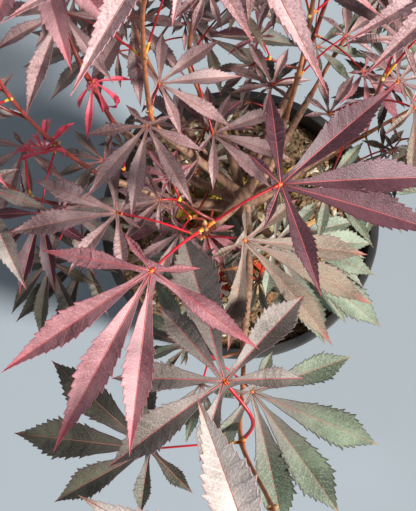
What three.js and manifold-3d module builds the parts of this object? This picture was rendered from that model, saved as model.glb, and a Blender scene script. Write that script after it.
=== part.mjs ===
// A young Japanese maple in a black nursery pot, in millimetres with +Z up.
// The origin is the centre of the pot's flat underside. +X is to the right and +Y is away
// from somebody who stands in front of the plant.

import * as THREE from 'three';
import { mergeVertices } from 'three/addons/utils/BufferGeometryUtils.js';
import Module from 'manifold-3d';

const wasm = await Module();
wasm.setup();

// Pot and compost
const ROUND_SIDES = 36;
const POT_HEIGHT = 150;
const RIM_RADIUS = 95;
const BASE_RADIUS = 75;
const POT_WALL = 1.8;
const POT_FLOOR = 2.5;
const LIP_HEIGHT = 9;
const LIP_OVERHANG = 4;
const LEDGE_DEPTH = 26;
const LEDGE_STEP = 2;
const DRAIN_HOLES = 6;
const DRAIN_RADIUS = 6;
const DRAIN_CIRCLE = 50;
const COMPOST_TOP = 134;
const COMPOST_RINGS = [22, 48, 72];
const COMPOST_WAVE = 1.6;

// Clear space between two pieces that carry each other
const GAP = 0.3;

// Trunk, from a flat cut on the compost to the fork
const TRUNK_LINE = [[4, 3, COMPOST_TOP + GAP], [5, 2, 160], [1, -1, 188], [0, -4, 216]];
const TRUNK_FOOT_RADIUS = 11;
const TRUNK_RADIUS = 6.6;
const TRUNK_TOP_RADIUS = 5;
const FLARE_SHARE = 0.2;
const BELOW_CUT = 5;
const TRUNK_SIDES = 12;
const TRUNK_STEPS = 9;

// Boughs: the height where each one leaves the trunk's middle, its bend and its tip
const BOUGH_SIDES = 6;
const BOUGH_STEPS = 4;
const BOUGH_FOOT_RADIUS = 3.5;
const BOUGH_TIP_RADIUS = 2.1;
const SHOOT_TIP_RADIUS = 1.3;
const SHOOT_SIDES = 4;
const SHOOT_STEPS_PER_JOINT = 2;

// Leaves: seven lobes, as turns from the middle lobe and as shares of its length
const LOBE_TURNS = [-124, -77, -33, 0, 33, 77, 124];
const LOBE_SHARES = [0.3, 0.66, 0.93, 1, 0.93, 0.66, 0.3];
const LOBE_HALF_WIDTH = 0.108;
const LOBE_WIDEST = 0.55;
const NOTCH_SHARE = 0.13;
const BACK_NOTCH_SHARE = 0.045;
const FOLD = 0.35;
const LEAF_THICKNESS = 1.1;
const TURN_PLAY = 5;
const SHARE_PLAY = 0.07;
const PETIOLE_RADIUS = 1;
const PETIOLE_ARCH = 0.12;

// Rule for the leaves that have no place of their own: the stalk climbs more at the top of
// a shoot than at its foot, and every number is played about by its share of chance
const PETIOLE_LENGTH = 34;
const PETIOLE_LONGEST = 1.15;
const PETIOLE_LOSS = 0.4;
const PETIOLE_PLAY = 0.2;
const LEAF_LENGTH = 66;
const LEAF_PLAY = 0.1;
const LOW_CLIMB = 18;
const HIGH_CLIMB = 46;
const CLIMB_PLAY = 10;
const PAIR_PLAY = 12;
const HEADING_PLAY = 18;
const PITCH = 14;
const PITCH_PLAY = 12;
const ROLL_PLAY = 12;
const BEND = 0.36;
const BEND_PLAY = 0.16;

// Each new try turns and climbs further and makes a smaller leaf
const TRIES = 20;
const TURN_PER_TRY = 5;
const CLIMB_PER_TRY = 2;
const LOSS_PER_TRY = 0.03;

// Room: air kept between leaves, and how much nearer they may lie one above the other
const AIR = 4;
const FLATTEN = 2.2;
const SAMPLE_STEP = 5;
const LOBE_SAMPLES = [0.2, 0.36, 0.52, 0.68, 0.84, 1];
const PETIOLE_SAMPLES = [0.35, 0.6, 0.85];
const CROWN_MIDDLE = [-6, -16, 330];
const CROWN_REACH = [205, 205, 230];
const LOWEST_LEAF = 158;

// Every shoot carries one mass of foliage. foot: the height where its bough leaves the trunk's
// middle. bough: the bough's bend and its tip. joints: the shoot's own joints in order, each
// with a pair of leaves. turn: the first pair's direction. bare: joints without leaves.
// tint: the leaves' colour. placed: leaves with a place of their own. hub: the hub's offset
// from the joint. turns and shares: the lobes' own turns from the heading and shares of the
// length, where they are set.
const SHOOTS = [
  {
    name: 'leader',
    tint: 'plum',
    foot: 216,
    bough: [[-9, -19, 232], [-19, -34, 250]],
    joints: [[-26, -49, 284], [-28, -60, 334], [-23, -71, 380]],
    turn: 100,
    bare: [1],
    placed: [
      {
        joint: 0, hub: [-44, 13, 1], heading: 186, pitch: 6, roll: 0, length: 66, bend: 0.36,
        turns: [-135, -88, -31, 0, 42, 90, 140], shares: [0.38, 0.7, 0.85, 1, 0.64, 0.55, 0.23],
      },
      {
        joint: 0, hub: [23, -6, 15], heading: 338, pitch: 10, roll: 0, length: 80, bend: 0.4,
        turns: [-130, -75, -24, 0, 20, 62, 110], shares: [0.25, 0.72, 0.92, 1, 0.9, 0.5, 0.25],
      },
      {
        joint: 2, hub: [-21, -23, 19], heading: 241, pitch: 4, roll: 0, length: 81, bend: 0.24,
        turns: [-115, -73, -28, 0, 22, 83, 123], shares: [0.25, 0.58, 0.9, 1, 0.9, 0.65, 0.24],
      },
      {
        joint: 2, hub: [31, 16, 9], heading: 6, pitch: 4, roll: 0, length: 81, bend: 0.24,
        turns: [-116, -76, -20, 0, 37, 88, 127], shares: [0.25, 0.62, 0.97, 1, 0.92, 0.55, 0.25],
      },
    ],
  },
  {
    name: 'front',
    tint: 'bronze',
    foot: 203,
    bough: [[3, -40, 216], [-2, -98, 240]],
    joints: [[-3, -122, 254], [-5, -155, 281], [6, -185, 335], [8, -208, 404]],
    turn: 10,
    bare: [2],
    placed: [
      {
        joint: 0, hub: [4, -7, 18], heading: 307, pitch: 8, roll: 0, length: 81, bend: 0.3,
        turns: [-125, -70, -23, 0, 31, 72, 115], shares: [0.25, 0.6, 0.95, 1, 0.94, 0.73, 0.3],
      },
      {
        joint: 1, hub: [-9, 27, 33], heading: 105, pitch: 8, roll: 0, length: 88, bend: 0.3,
        turns: [-101, -56, 0, 24, 71, 110, 147], shares: [0.44, 0.71, 1, 0.6, 0.64, 0.78, 0.45],
      },
      {
        joint: 1, hub: [-47, -3, -11], heading: 173, pitch: 8, roll: 0, length: 79, bend: 0.3,
        turns: [-128, -78, -33, 0, 34, 88, 142], shares: [0.3, 0.6, 0.97, 1, 0.75, 0.43, 0.4],
      },
      {
        joint: 3, hub: [-10, -3, 33], heading: 153, pitch: 0, roll: 0, length: 72, bend: 0.2,
        turns: [-150, -100, -43, 0, 36, 74, 120], shares: [0.2, 0.35, 0.98, 1, 0.9, 0.6, 0.3],
      },
      {
        joint: 3, hub: [20, -6, 24], heading: 320, pitch: 6, roll: 0, length: 58, bend: 0.3,
      },
      {
        joint: 0, hub: [-28, 20, 14], heading: 118, pitch: 8, roll: 0, length: 42, bend: 0.3,
      },
    ],
  },
  {
    name: 'tall',
    tint: 'bronze',
    foot: 209,
    bough: [[-18, 6, 228], [-50, 22, 256]],
    joints: [[-54, 25, 276], [-54, 32, 328], [-50, 30, 388], [-40, 8, 446], [-30, -8, 494]],
    turn: 40,
    bare: [],
    placed: [
      {
        joint: 0, hub: [5, 16, 2], heading: 10, pitch: 8, roll: 0, length: 54, bend: 0.3,
      },
      {
        joint: 0, hub: [0, -17, 22], heading: 262, pitch: 8, roll: 0, length: 52, bend: 0.3,
      },
      {
        joint: 1, hub: [-46, 39, -25], heading: 200, pitch: 10, roll: 0, length: 60, bend: 0.4,
        turns: [-110, -60, -30, 0, 46, 104, 150], shares: [0.4, 0.7, 0.8, 0.8, 1, 0.8, 0.4],
      },
      {
        joint: 1, hub: [24, 34, 50], heading: 335, pitch: 6, roll: 0, length: 58, bend: 0.3,
      },
      {
        joint: 4, hub: [-4, -18, 26], heading: 203, pitch: 4, roll: 0, length: 56, bend: 0.3,
        turns: [-124, -77, -33, 0, 35, 80, 124], shares: [0.3, 0.66, 0.9, 0.95, 0.93, 0.3, 0.3],
      },
      {
        joint: 4, hub: [14, -10, 28], heading: 328, pitch: 4, roll: 0, length: 60, bend: 0.3,
        turns: [-124, -70, -29, 0, 33, 77, 124], shares: [0.3, 0.35, 1, 0.9, 0.9, 0.6, 0.3],
      },
      {
        joint: 2, hub: [-28, 26, 14], heading: 150, pitch: 8, roll: 0, length: 50, bend: 0.3,
      },
    ],
  },
  {
    name: 'left',
    tint: 'bronze',
    foot: 192,
    bough: [[-36, 12, 206], [-78, 34, 234]],
    joints: [[-95, 58, 267], [-110, 92, 306], [-116, 104, 356], [-114, 106, 404]],
    turn: 120,
    bare: [0],
    placed: [
      {
        joint: 0, hub: [8, -12, 2], heading: 300, pitch: 0, roll: 0, length: 38, bend: 2.2,
      },
    ],
  },
  {
    name: 'middle',
    tint: 'bronze',
    foot: 197,
    bough: [[-10, 28, 220], [-26, 50, 242]],
    joints: [[-33, 64, 264], [-26, 88, 312], [-20, 104, 366], [-14, 108, 418]],
    turn: 200,
    bare: [],
    placed: [
      {
        joint: 0, hub: [14, -42, -13], heading: 350, pitch: 8, roll: 0, length: 50, bend: 0.3,
      },
      {
        joint: 1, hub: [10, 26, 8], heading: 100, pitch: 8, roll: 0, length: 46, bend: 0.3,
      },
    ],
  },
  {
    name: 'right',
    tint: 'plum',
    foot: 186,
    bough: [[30, 12, 206], [54, 20, 232]],
    joints: [[60, 22, 268], [62, 14, 318], [57, 2, 368]],
    turn: 60,
    bare: [],
    placed: [
      {
        joint: 2, hub: [34, 28, 47], heading: 221, pitch: 4, roll: 0, length: 66, bend: 0.3,
        turns: [-120, -60, -15, 0, 20, 70, 120], shares: [0.3, 0.7, 0.97, 1, 1, 0.6, 0.3],
      },
      {
        joint: 0, hub: [25, 22, 7], heading: 55, pitch: 10, roll: 0, length: 50, bend: 0.4,
      },
      {
        joint: 0, hub: [-17, -39, 8], heading: 338, pitch: 8, roll: 0, length: 50, bend: 0.3,
      },
      {
        joint: 1, hub: [-20, 0, -18], heading: 59, pitch: 4, roll: 0, length: 34, bend: 0.3,
        turns: [-124, -77, -33, 0, 40, 80, 124], shares: [0.5, 0.6, 0.7, 0.9, 0.8, 0.5, 0.4],
      },
    ],
  },
  {
    name: 'back',
    tint: 'bronze',
    foot: 180,
    bough: [[16, 40, 200], [34, 70, 222]],
    joints: [[42, 86, 250], [50, 102, 300], [54, 112, 352], [50, 114, 404]],
    turn: 90,
    bare: [],
    placed: [],
  },
  {
    name: 'low_right',
    tint: 'green',
    foot: 170,
    bough: [[34, 20, 180], [60, 34, 186]],
    joints: [[80, 44, 194], [112, 56, 214], [138, 56, 246]],
    turn: 20,
    bare: [],
    placed: [],
  },
  {
    name: 'low_left',
    tint: 'green',
    foot: 166,
    bough: [[-34, 2, 176], [-76, -2, 186]],
    joints: [[-102, -6, 198], [-130, -6, 218], [-150, 0, 246]],
    turn: 80,
    bare: [],
    placed: [
      {
        joint: 0, hub: [4, -34, 4], heading: 214, pitch: 14, roll: 0, length: 64, bend: 0.4,
      },
      {
        joint: 1, hub: [-5, 32, 0], heading: 250, pitch: 4, roll: 0, length: 48, bend: 0.3,
        turns: [-124, -85, -40, 0, 24, 70, 120], shares: [0.3, 0.5, 0.7, 1, 0.83, 0.7, 0.4],
      },
    ],
  },
  {
    name: 'low_back',
    tint: 'green',
    foot: 160,
    bough: [[-22, 34, 174], [-52, 76, 192]],
    joints: [[-64, 96, 212], [-74, 118, 246], [-80, 132, 290], [-76, 136, 340]],
    turn: 0,
    bare: [],
    placed: [],
  },
  {
    name: 'inner',
    tint: 'plum',
    foot: 206,
    bough: [[12, 14, 224], [24, 34, 246]],
    joints: [[28, 44, 280], [30, 54, 330], [28, 60, 384], [22, 60, 436]],
    turn: 140,
    bare: [],
    placed: [
      {
        joint: 0, hub: [-13, 4, -18], heading: 113, pitch: 4, roll: 0, length: 36, bend: 0.3,
        turns: [-155, -102, -45, 0, 40, 75, 141], shares: [0.4, 0.66, 0.8, 1, 0.85, 0.7, 0.55],
      },
      {
        joint: 1, hub: [-14, 26, 22], heading: 95, pitch: 8, roll: 0, length: 40, bend: 0.3,
      },
    ],
  },
  {
    name: 'side_left',
    tint: 'plum',
    foot: 184,
    bough: [[-40, -2, 198], [-86, 6, 220]],
    joints: [[-110, 16, 248], [-128, 26, 292], [-132, 32, 340]],
    turn: 30,
    bare: [],
    placed: [
      {
        joint: 0, hub: [-6, -6, 6], heading: 118, pitch: 0, roll: 0, length: 40, bend: 1.6,
        turns: [-100, -60, -25, 0, 25, 50, 75], shares: [0.6, 0.8, 1, 1, 0.9, 0.7, 0.5],
      },
      {
        joint: 1, hub: [-24, 18, 14], heading: 140, pitch: 10, roll: 0, length: 54, bend: 0.4,
      },
      {
        joint: 1, hub: [-22, -22, 12], heading: 225, pitch: 10, roll: 0, length: 54, bend: 0.4,
      },
    ],
  },
  {
    name: 'low_far',
    tint: 'green',
    foot: 163,
    bough: [[22, 34, 174], [46, 74, 188]],
    joints: [[62, 98, 204], [82, 122, 232], [94, 136, 272]],
    turn: 100,
    bare: [],
    placed: [
      {
        joint: 0, hub: [-14, -1, 8], heading: 355, pitch: 6, roll: 0, length: 38, bend: 0.3,
        turns: [-125, -80, -38, 0, 48, 110, 150], shares: [0.4, 0.6, 0.9, 1, 0.85, 0.6, 0.4],
      },
    ],
  },
  {
    name: 'low_front',
    tint: 'green',
    foot: 157,
    bough: [[16, -14, 168], [30, -26, 178]],
    joints: [[36, -32, 188], [46, -42, 208]],
    turn: 40,
    bare: [1],
    placed: [
      {
        joint: 0, hub: [-19, -5, 40], heading: 324, pitch: 6, roll: 0, length: 84, bend: 0.3,
        turns: [-110, -62, -26, 0, 38, 78, 115], shares: [0.2, 0.4, 0.81, 1, 0.75, 0.4, 0.2],
      },
      {
        joint: 0, hub: [-10, 5, 12], heading: 320, pitch: 4, roll: 0, length: 66, bend: 0.3,
        turns: [-110, -50, -13, 20, 56, 90, 125], shares: [0.25, 0.5, 1, 0.96, 0.75, 0.5, 0.25],
      },
    ],
  },
];

const radians = THREE.MathUtils.degToRad;
const vector = (p) => new THREE.Vector3(p[0], p[1], p[2]);

// A number from 0 to 1 that depends only on its key
function chance(key) {
  const value = Math.sin(key * 12.9898 + 4.1414) * 43758.5453;
  return value - Math.floor(value);
}

function spreadOut(key, play) {
  return (2 * chance(key) - 1) * play;
}

// Solids from closed geometries, and back
function solidOf(geometry) {
  const plain = geometry.clone();
  plain.deleteAttribute('normal');
  plain.deleteAttribute('uv');
  const merged = mergeVertices(plain, 1e-4);
  return new wasm.Manifold(new wasm.Mesh({
    numProp: 3,
    vertProperties: new Float32Array(merged.attributes.position.array),
    triVerts: new Uint32Array(merged.index.array),
  }));
}

function geometryOf(solid) {
  const mesh = solid.getMesh();
  const geometry = new THREE.BufferGeometry();
  geometry.setAttribute('position', new THREE.BufferAttribute(mesh.vertProperties, 3));
  geometry.setIndex(new THREE.BufferAttribute(mesh.triVerts, 1));
  geometry.computeVertexNormals();
  return geometry;
}

// The world axis that a limb runs least along
function crossAxis(points) {
  const run = points[points.length - 1].clone().sub(points[0]);
  const axes = [new THREE.Vector3(1, 0, 0), new THREE.Vector3(0, 1, 0), new THREE.Vector3(0, 0, 1)];
  return axes.sort((a, b) => Math.abs(a.dot(run)) - Math.abs(b.dot(run)))[0];
}

// A closed round limb along a smooth line, with its own radius at each share of its length
function limbSolid(points, radiusAt, sides, steps) {
  const curve = new THREE.CatmullRomCurve3(points, false, 'catmullrom', 0.5);
  const reference = crossAxis(points);
  const geometry = new THREE.CylinderGeometry(1, 1, 1, sides, steps);
  const position = geometry.attributes.position;
  for (let i = 0; i < position.count; i += 1) {
    const share = THREE.MathUtils.clamp(position.getY(i) + 0.5, 0, 1);
    const radius = radiusAt(share);
    const forward = curve.getTangent(share);
    const side = forward.clone().cross(reference).normalize();
    const up = side.clone().cross(forward);
    const place = curve.getPoint(share)
      .addScaledVector(side, position.getX(i) * radius)
      .addScaledVector(up, position.getZ(i) * radius);
    position.setXYZ(i, place.x, place.y, place.z);
  }
  return solidOf(geometry);
}

// Pot: a tapered wall with a stacking ledge, a rolled lip and drain holes in a flat floor
function wallRadius(height) {
  const taper = (RIM_RADIUS - LIP_OVERHANG - LEDGE_STEP - BASE_RADIUS) / POT_HEIGHT;
  const step = height > POT_HEIGHT - LEDGE_DEPTH ? LEDGE_STEP : 0;
  return BASE_RADIUS + taper * height + step;
}

function potSolid() {
  const ledge = POT_HEIGHT - LEDGE_DEPTH;
  const lip = POT_HEIGHT - LIP_HEIGHT;
  const outline = [
    [0, 0],
    [BASE_RADIUS, 0],
    [wallRadius(ledge), ledge],
    [wallRadius(ledge + 1), ledge + 1],
    [wallRadius(lip), lip],
    [RIM_RADIUS, lip],
    [RIM_RADIUS, POT_HEIGHT - 1],
    [RIM_RADIUS - 1, POT_HEIGHT],
    [wallRadius(POT_HEIGHT) - POT_WALL, POT_HEIGHT],
    [wallRadius(ledge + 1) - POT_WALL, ledge + 1],
    [wallRadius(ledge) - POT_WALL, ledge],
    [wallRadius(POT_FLOOR) - POT_WALL, POT_FLOOR],
    [0, POT_FLOOR],
  ];
  const profile = outline.map(([radius, height]) => new THREE.Vector2(radius, height));
  const lathe = new THREE.LatheGeometry(profile, ROUND_SIDES);
  lathe.rotateX(Math.PI / 2);
  let solid = solidOf(lathe);
  for (let i = 0; i < DRAIN_HOLES; i += 1) {
    const turn = (i / DRAIN_HOLES) * 2 * Math.PI;
    const hole = new THREE.CylinderGeometry(DRAIN_RADIUS, DRAIN_RADIUS, 4 * POT_FLOOR, 12);
    hole.rotateX(Math.PI / 2);
    hole.translate(DRAIN_CIRCLE * Math.cos(turn), DRAIN_CIRCLE * Math.sin(turn), 0);
    solid = solid.subtract(solidOf(hole));
  }
  return solid;
}

// Compost: fills the pot, level round the trunk's foot and slightly uneven further out
function compostSolid() {
  const ledge = POT_HEIGHT - LEDGE_DEPTH;
  const inner = (height) => wallRadius(height) - POT_WALL - GAP;
  const outline = [
    [0, POT_FLOOR + GAP],
    [inner(POT_FLOOR), POT_FLOOR + GAP],
    [inner(ledge), ledge + GAP],
    [inner(ledge + 1), ledge + 1 + 2 * GAP],
    [inner(COMPOST_TOP), COMPOST_TOP],
    ...COMPOST_RINGS.toReversed().map((radius) => [radius, COMPOST_TOP]),
    [0, COMPOST_TOP],
  ];
  const profile = outline.map(([radius, height]) => new THREE.Vector2(radius, height));
  const lathe = new THREE.LatheGeometry(profile, ROUND_SIDES);
  lathe.rotateX(Math.PI / 2);
  const position = lathe.attributes.position;
  for (let i = 0; i < position.count; i += 1) {
    const x = position.getX(i);
    const y = position.getY(i);
    const away = Math.hypot(x, y);
    if (position.getZ(i) > COMPOST_TOP - 0.01 && away > COMPOST_RINGS[0] + 1) {
      const wave = Math.sin(x * 0.09 + 1) * Math.cos(y * 0.11) * COMPOST_WAVE;
      position.setZ(i, COMPOST_TOP + wave);
    }
  }
  return solidOf(lathe);
}

// Trunk: flared at its foot, tapering to the fork
function trunkRadius(share) {
  const taper = THREE.MathUtils.lerp(TRUNK_RADIUS, TRUNK_TOP_RADIUS, share);
  const flare = Math.max(0, 1 - share / FLARE_SHARE) ** 2;
  return taper + (TRUNK_FOOT_RADIUS - TRUNK_RADIUS) * flare;
}

function trunkSolid(extra) {
  const points = TRUNK_LINE.map(vector);
  points[0].z -= BELOW_CUT;
  points[points.length - 1].z += extra;
  const whole = limbSolid(
    points, (share) => trunkRadius(share) + extra, TRUNK_SIDES, TRUNK_STEPS);
  const below = new THREE.BoxGeometry(4 * RIM_RADIUS, 4 * RIM_RADIUS, COMPOST_TOP);
  below.translate(0, 0, COMPOST_TOP / 2 + GAP);
  return whole.subtract(solidOf(below));
}

function trunkMiddle(height) {
  const curve = new THREE.CatmullRomCurve3(TRUNK_LINE.map(vector), false, 'catmullrom', 0.5);
  let share = 0;
  while (share < 1 && curve.getPoint(share).z < height) {
    share += 0.01;
  }
  return curve.getPoint(Math.min(share, 1));
}

// Boughs: one tapering limb each, cut 0.3 mm clear of the trunk
function boughRadius(share) {
  return THREE.MathUtils.lerp(BOUGH_FOOT_RADIUS, BOUGH_TIP_RADIUS, share);
}

function boughSolid(shoot, extra) {
  const points = [trunkMiddle(shoot.foot), ...shoot.bough.map(vector)];
  const onward = points[2].clone().sub(points[1]).setLength(extra);
  points[2].add(onward);
  return limbSolid(points, (share) => boughRadius(share) + extra, BOUGH_SIDES, BOUGH_STEPS);
}

function shootPoints(shoot) {
  return [vector(shoot.bough[1]), ...shoot.joints.map(vector)];
}

function shootRadius(share) {
  return THREE.MathUtils.lerp(BOUGH_TIP_RADIUS, SHOOT_TIP_RADIUS, share);
}

// A leaf's own axes: along its middle lobe, to its left and out of its upper face
function leafAxes(leaf) {
  const heading = radians(leaf.heading);
  const pitch = radians(leaf.pitch);
  const roll = radians(leaf.roll);
  const along = new THREE.Vector3(
    Math.cos(heading) * Math.cos(pitch), Math.sin(heading) * Math.cos(pitch), -Math.sin(pitch));
  const left = new THREE.Vector3(-Math.sin(heading), Math.cos(heading), 0);
  const up = along.clone().cross(left);
  const rolledLeft = left.clone().multiplyScalar(Math.cos(roll)).addScaledVector(up, Math.sin(roll));
  const rolledUp = up.multiplyScalar(Math.cos(roll)).addScaledVector(left, -Math.sin(roll));
  return { along, left: rolledLeft, up: rolledUp };
}

function lobesOf(leaf) {
  return LOBE_TURNS.map((turn, i) => ({
    turn: radians(leaf.turns?.[i] ?? turn + spreadOut(leaf.key + 3 * i, TURN_PLAY)),
    length: leaf.length * (leaf.shares?.[i]
      ?? LOBE_SHARES[i] + spreadOut(leaf.key + 3 * i + 1, SHARE_PLAY)),
  }));
}

// A point of a leaf: share of the lobe's length, sideways from its rib, above its blade.
// Every lobe curves down along an arc that turns by the leaf's bend, in radians.
function leafPoint(leaf, axes, lobe, share, side, above) {
  const along = axes.along.clone().multiplyScalar(Math.cos(lobe.turn))
    .addScaledVector(axes.left, Math.sin(lobe.turn));
  const across = axes.left.clone().multiplyScalar(Math.cos(lobe.turn))
    .addScaledVector(axes.along, -Math.sin(lobe.turn));
  const turned = leaf.bend * share;
  const rise = above + FOLD * Math.abs(side);
  return vector(leaf.hub)
    .addScaledVector(along, lobe.length * Math.sin(turned) / leaf.bend + rise * Math.sin(turned))
    .addScaledVector(axes.up, rise * Math.cos(turned) - lobe.length * (1 - Math.cos(turned)) / leaf.bend)
    .addScaledVector(across, side);
}

function lobeHalfWidth(lobe, share) {
  const rise = Math.min(1, share / LOBE_WIDEST);
  const fall = Math.min(1, (1 - share) / (1 - LOBE_WIDEST));
  return lobe.length * LOBE_HALF_WIDTH * Math.min(rise, fall);
}

// Petiole: from inside the shoot's joint, arched a little, to the hub
function petioleLine(leaf) {
  const foot = vector(leaf.foot);
  const hub = vector(leaf.hub);
  const middle = foot.clone().lerp(hub, 0.5);
  middle.z += PETIOLE_ARCH * foot.distanceTo(hub);
  return [foot, middle, hub];
}

// The three corners of the petiole round a point of its line. Where it meets the blade the
// corners lie in the blade's lower face.
function petioleRing(axes, centre, direction, inBlade) {
  const side = direction.clone().cross(axes.up).normalize();
  const back = inBlade
    ? axes.up.clone().cross(side).negate()
    : side.clone().cross(direction).normalize();
  return [90, 210, 330].map((turn) => centre.clone()
    .addScaledVector(side, PETIOLE_RADIUS * Math.cos(radians(turn)))
    .addScaledVector(back, PETIOLE_RADIUS * Math.sin(radians(turn))));
}

function turnAround(leaf, axes, point) {
  const offset = point.clone().sub(vector(leaf.hub));
  return Math.atan2(offset.dot(axes.left), offset.dot(axes.along));
}

function turnBetween(a, b) {
  return Math.abs(Math.atan2(Math.sin(a - b), Math.cos(a - b)));
}

// Leaf: a fan of folded lobes, thin at the edge and full at the hub and the ribs, in one
// skin with its petiole
function leafSolid(leaf) {
  const axes = leafAxes(leaf);
  const lobes = lobesOf(leaf);
  const half = LEAF_THICKNESS / 2;
  const points = [];
  const faces = [];
  const add = (point) => points.push(point) - 1;
  const hubTop = add(vector(leaf.hub).addScaledVector(axes.up, half));
  const notches = lobes.map((lobe, i) => {
    const next = lobes[i + 1];
    if (!next) {
      const back = { turn: Math.PI, length: leaf.length };
      return add(leafPoint(leaf, axes, back, BACK_NOTCH_SHARE, 0, 0));
    }
    const notch = { turn: (lobe.turn + next.turn) / 2, length: leaf.length };
    const depth = NOTCH_SHARE * Math.min(1, (lobe.length + next.length) / (1.4 * leaf.length));
    return add(leafPoint(leaf, axes, notch, depth, 0, 0));
  });
  const underRim = [];
  lobes.forEach((lobe, i) => {
    const side = lobeHalfWidth(lobe, LOBE_WIDEST);
    const right = add(leafPoint(leaf, axes, lobe, LOBE_WIDEST, -side, 0));
    const left = add(leafPoint(leaf, axes, lobe, LOBE_WIDEST, side, 0));
    const tip = add(leafPoint(leaf, axes, lobe, 1, 0, 0));
    const ribTop = add(leafPoint(leaf, axes, lobe, LOBE_WIDEST, 0, half));
    const ribUnder = add(leafPoint(leaf, axes, lobe, LOBE_WIDEST, 0, -half));
    const before = notches[(i + lobes.length - 1) % lobes.length];
    const after = notches[i];
    const rim = [before, right, tip, left, after];
    faces.push(hubTop, before, ribTop, hubTop, ribTop, after);
    for (let k = 0; k < rim.length - 1; k += 1) {
      faces.push(rim[k], rim[k + 1], ribTop);
      faces.push(rim[k + 1], rim[k], ribUnder);
    }
    underRim.push(before, ribUnder);
  });

  const [foot, middle, hub] = petioleLine(leaf);
  const under = hub.clone().addScaledVector(axes.up, -half);
  const arrival = under.clone().sub(middle).normalize();
  const departure = middle.clone().sub(foot).normalize();
  const bend = arrival.clone().add(departure).normalize();
  const top = petioleRing(axes, under, arrival, true).map(add);
  const waist = petioleRing(axes, middle, bend, false).map(add);
  const bottom = petioleRing(axes, foot, departure, false).map(add);
  const nearest = (index) => {
    const turns = top.map((corner) => turnBetween(
      turnAround(leaf, axes, points[corner]), turnAround(leaf, axes, points[index])));
    return turns.indexOf(Math.min(...turns));
  };
  underRim.forEach((outer, i) => {
    const next = underRim[(i + 1) % underRim.length];
    const here = top[nearest(outer)];
    const there = top[nearest(next)];
    faces.push(here, next, outer);
    if (here !== there) {
      faces.push(here, there, next);
    }
  });
  for (const [upper, lower] of [[top, waist], [waist, bottom]]) {
    for (let k = 0; k < 3; k += 1) {
      const n = (k + 1) % 3;
      faces.push(upper[k], lower[n], lower[k], upper[k], upper[n], lower[n]);
    }
  }
  faces.push(bottom[0], bottom[1], bottom[2]);
  const geometry = new THREE.BufferGeometry().setFromPoints(points);
  geometry.setIndex(faces);
  return solidOf(geometry);
}

// Sample balls that stand for a leaf where it is tested against the rest of the plant
function leafBalls(leaf) {
  const axes = leafAxes(leaf);
  const balls = [];
  for (const lobe of lobesOf(leaf)) {
    for (const share of LOBE_SAMPLES) {
      const centre = leafPoint(leaf, axes, lobe, share, 0, 0);
      balls.push({ centre, radius: lobeHalfWidth(lobe, share) });
    }
  }
  const line = new THREE.CatmullRomCurve3(petioleLine(leaf), false, 'catmullrom', 0.5);
  for (const share of PETIOLE_SAMPLES) {
    balls.push({ centre: line.getPoint(share), radius: PETIOLE_RADIUS });
  }
  return balls;
}

function limbBalls(points, radius) {
  const curve = new THREE.CatmullRomCurve3(points, false, 'catmullrom', 0.5);
  const count = Math.ceil(curve.getLength() / SAMPLE_STEP);
  return curve.getPoints(count).map((centre) => ({ centre, radius }));
}

function isClear(balls, others) {
  return balls.every((ball) => others.every((other) => {
    const x = ball.centre.x - other.centre.x;
    const y = ball.centre.y - other.centre.y;
    const z = (ball.centre.z - other.centre.z) * FLATTEN;
    return x * x + y * y + z * z > (ball.radius + other.radius + AIR) ** 2;
  }));
}

function isInCrown(balls) {
  return balls.every(({ centre }) => {
    const x = (centre.x - CROWN_MIDDLE[0]) / CROWN_REACH[0];
    const y = (centre.y - CROWN_MIDDLE[1]) / CROWN_REACH[1];
    const z = (centre.z - CROWN_MIDDLE[2]) / CROWN_REACH[2];
    return x * x + y * y + z * z < 1 && centre.z > LOWEST_LEAF;
  });
}

// One leaf by the seeded rule: pairs stand crosswise from joint to joint
function ruledLeaf(shoot, number, joint, side, attempt) {
  const key = 1000 * number + 100 * joint + 50 * side + 7 * attempt + 0.37;
  const foot = shoot.joints[joint];
  const height = joint / (shoot.joints.length - 1);
  const turn = shoot.turn + 90 * joint + 180 * side
    + spreadOut(key + 0.11, PAIR_PLAY + TURN_PER_TRY * attempt);
  const climb = THREE.MathUtils.lerp(LOW_CLIMB, HIGH_CLIMB, height)
    + spreadOut(key + 0.23, CLIMB_PLAY + CLIMB_PER_TRY * attempt);
  const reach = PETIOLE_LENGTH
    * (PETIOLE_LONGEST - PETIOLE_LOSS * height + spreadOut(key + 0.31, PETIOLE_PLAY));
  const level = reach * Math.cos(radians(climb));
  return {
    key,
    joint,
    foot,
    hub: [
      foot[0] + level * Math.cos(radians(turn)),
      foot[1] + level * Math.sin(radians(turn)),
      foot[2] + reach * Math.sin(radians(climb)),
    ],
    heading: turn + spreadOut(key + 0.41, HEADING_PLAY),
    pitch: PITCH + spreadOut(key + 0.53, PITCH_PLAY),
    roll: spreadOut(key + 0.61, ROLL_PLAY),
    length: LEAF_LENGTH * (1 - LOSS_PER_TRY * attempt + spreadOut(key + 0.71, LEAF_PLAY)),
    bend: BEND + spreadOut(key + 0.97, BEND_PLAY),
  };
}

function placedLeaf(shoot, number, entry, i) {
  const foot = shoot.joints[entry.joint];
  const hub = foot.map((value, axis) => value + entry.hub[axis]);
  return { ...entry, key: 1000 * number + 500 + 40 * i + 0.37, foot, hub };
}

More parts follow.
